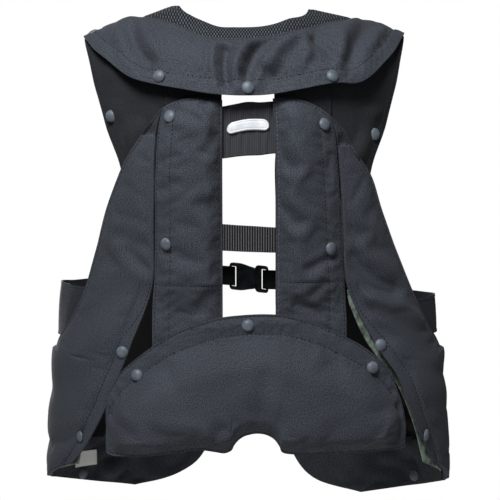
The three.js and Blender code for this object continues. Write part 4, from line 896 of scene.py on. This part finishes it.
trees = {name: treeOf(name) for name in made}
for node in [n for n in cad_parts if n.startswith("snap_")]:
    low, high = (Vector(corner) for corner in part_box(node))
    points = np.array([v.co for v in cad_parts[node].data.vertices])
    outward = Vector(np.linalg.svd(points - points.mean(0))[2][2])
    facing = (low + high) / 2 - Vector((0, 0, (low.z + high.z) / 2 - 0.03))
    outward = outward if outward.dot(facing) * (-1 if "front" in node else 1) > 0 else -outward
    for part, lean in snapCap["leans"].items():  # loose cloth turns with its snap
        outward = (outward + Vector(lean)).normalized() if part in node else outward
    tree, middle = trees[carrierOf(node)], (low + high) / 2
    place = tree.ray_cast(middle + outward * 0.03, -outward)[0]
    place = place + outward * snapCap["sinks"].get(node, snapCap["seat"]) * mm
    bm = bmesh.new()
    points = [bm.verts.new((x * mm, 0, z * mm)) for x, z in snapCap["profile"]]
    edges = [bm.edges.new(pair) for pair in zip(points, points[1:])]
    bmesh.ops.spin(bm, geom=points + edges, cent=(0, 0, 0), axis=(0, 0, 1), angle=2 * math.pi,
                   steps=snapCap["steps"], use_merge=True)
    bmesh.ops.remove_doubles(bm, verts=bm.verts, dist=0.005 * mm)
    bmesh.ops.recalc_face_normals(bm, faces=bm.faces)
    turned = outward.to_track_quat("Z", "Y").to_matrix().to_4x4()
    bmesh.ops.transform(bm, matrix=Matrix.Translation(place) @ turned, verts=bm.verts)
    finishPiece(node.replace("snap_", "snapCap_"), bm, enamelGrey, node)
print("snaps set")


# stitching: short threads laid end to end on the cloth

thread = {"pitch": 5.2, "length": 3.7, "wide": 1.3, "high": 0.8}


def sewLine(bm, carrier, points):
    points = np.asarray(points, float) * mm
    steps = np.linalg.norm(np.diff(points, axis=0), axis=1)
    run = np.concatenate([[0], np.cumsum(steps)])
    for s in np.arange(thread["pitch"] / 2 * mm, run[-1], thread["pitch"] * mm):
        ends = [Vector([np.interp(s + d * mm, run, points[:, k]) for k in range(3)]) for d in (-1, 0, 1)]
        place, normal = trees[carrier].find_nearest(ends[1])[:2]
        along = (ends[2] - ends[0]).normalized()
        aside = normal.cross(along).normalized()
        turned = Matrix((along, aside, normal)).transposed().to_4x4()
        size = Matrix.Diagonal([thread[key] / 2 * mm for key in ("length", "wide", "high")] + [1])
        shape = Matrix.Translation(place) @ turned @ size
        bmesh.ops.create_icosphere(bm, subdivisions=1, radius=1, matrix=shape)


def stitch(carrier, lines, material=None):
    bm = bmesh.new()
    for points in lines:
        if len(points) > 1:
            sewLine(bm, carrier, points)
    finishPiece("stitches_" + carrier + ("" if material is None else "_edge"), bm, material or threadYarn)


def facingWidth(v):  # the wing's facing widens to take the snaps
    return float(mix(wings["facing"], wings["hem"], ramp(0.53, 0.62, v)))


# the same thread on both window edges: pale on the right edge as painted light, the thread's own dark on the
# left edge, which faces away from the light
edgeThreads = {"left": threadYarn, "right": threadLitPale}
stitch("collarFlap", [collarCloth.line(collar["hem"], "toSecond"),
                      collarCloth.line(collar["seamStitch"], "fromFirst")])
stitch("hipPad", [hipCloth.line(hipPad["flange"], "fromFirst"),
                  hipCloth.line(hipPad["edgeStitch"], "fromFirst"),
                  hipCloth.line(hipPad["edgeStitch"], "toSecond")])
for side in sides:
    c, w, f = channelCloth[side], wingCloth[side], frontCloth[side]
    stitch(f"backChannel_{side}", [c.line(channels["edgeStitch"], "fromFirst")], edgeThreads[side])
    stitch(f"backChannel_{side}", [c.line(channels["tunnelStitch"], "toSecond", (0.05, 1)),
                                   c.line(channels["outerStitch"], "toSecond", (0.02, 1)),
                                   c.line(channels["topStitch"], "fromTop", along=False),
                                   c.line(channels["crossSeam"][side], "z", along=False)])
    stitch(f"sideWing_{side}", [w.line(facingWidth, "fromFirst", (0.47, 1)),
                                w.line(wings["seamStitch"], "toSecond", (0.02, 0.64)),
                                w.line(wings["tuck"][side], "z", along=False)])
    stitch(f"frontPanel_{side}", [f.line(fronts["edgeStitch"], "fromFirst"),
                                  f.line(fronts["hemStitch"], "toEnd", along=False)])
    stitch(f"shoulderPanel_{side}", [panelCloth[side].line(shoulderPanels["bindingStitch"], "toSecond")])
print("stitched")


# stage: white studio, soft key from the upper left

floorDisc = {"z": -0.95, "radius": 1.35}
studio = {"light": 0.06, "seen": 1.0}
view = {"lens": 132, "sensor": 36, "place": (0.0024, -2.3126, -0.1362), "tilt": 86}
bm = bmesh.new()
middle = Matrix.Translation((0, 0, floorDisc["z"]))
bmesh.ops.create_circle(bm, cap_ends=True, segments=96, radius=floorDisc["radius"], matrix=middle)
floor = newObject("floor", bm)
floor.data.materials.append(smoothSkin("paintedFloor", "d6d6d4", "dededc", 0.6, 3, 0.02))

world = bpy.data.worlds.new("whiteStudio")
bpy.context.scene.world = world
world.use_nodes = True
lit = world.node_tree.nodes["Background"]
lit.inputs["Color"].default_value = (1, 1, 1, 1)
lit.inputs["Strength"].default_value = studio["light"]
seen = addNode(world, "ShaderNodeBackground", {"Color": (1, 1, 1, 1), "Strength": studio["seen"]})
direct = addNode(world, "ShaderNodeLightPath").outputs["Is Camera Ray"]
both = addNode(world, "ShaderNodeMixShader", {0: direct, 1: lit.outputs[0], 2: seen.outputs[0]})
world.node_tree.links.new(both.outputs[0], world.node_tree.nodes["World Output"].inputs["Surface"])

lamps = {  # place, what it looks at, size, watts
    "keyLamp": ((-0.38, -1.2, 1.0), (0, 0, -0.3), 0.6, 35),
    "fillLamp": ((1.9, -2.0, 0.2), (0, 0, -0.3), 2.0, 5),
    "frontLamp": ((-0.9, 2.3, 0.0), (0, 0, -0.3), 1.8, 34),
}
for name, (place, target, size, watts) in lamps.items():
    light = bpy.data.lights.new(name, "AREA")
    light.size, light.energy = size, watts
    lamp = bpy.data.objects.new(name, light)
    bpy.context.collection.objects.link(lamp)
    lamp.location = place
    lamp.rotation_euler = (Vector(target) - Vector(place)).to_track_quat("-Z", "Y").to_euler()

camera = bpy.data.objects.new("camera", bpy.data.cameras.new("camera"))
bpy.context.collection.objects.link(camera)
camera.data.lens, camera.data.sensor_width = view["lens"], view["sensor"]
camera.location = view["place"]
camera.rotation_euler = (math.radians(view["tilt"]), 0, 0)
bpy.context.scene.camera = camera
bpy.context.scene.view_settings.view_transform = "Standard"
print("stage set")

print("triangles", sum(len(p.vertices) - 2 for o in made.values() for p in o.data.polygons))
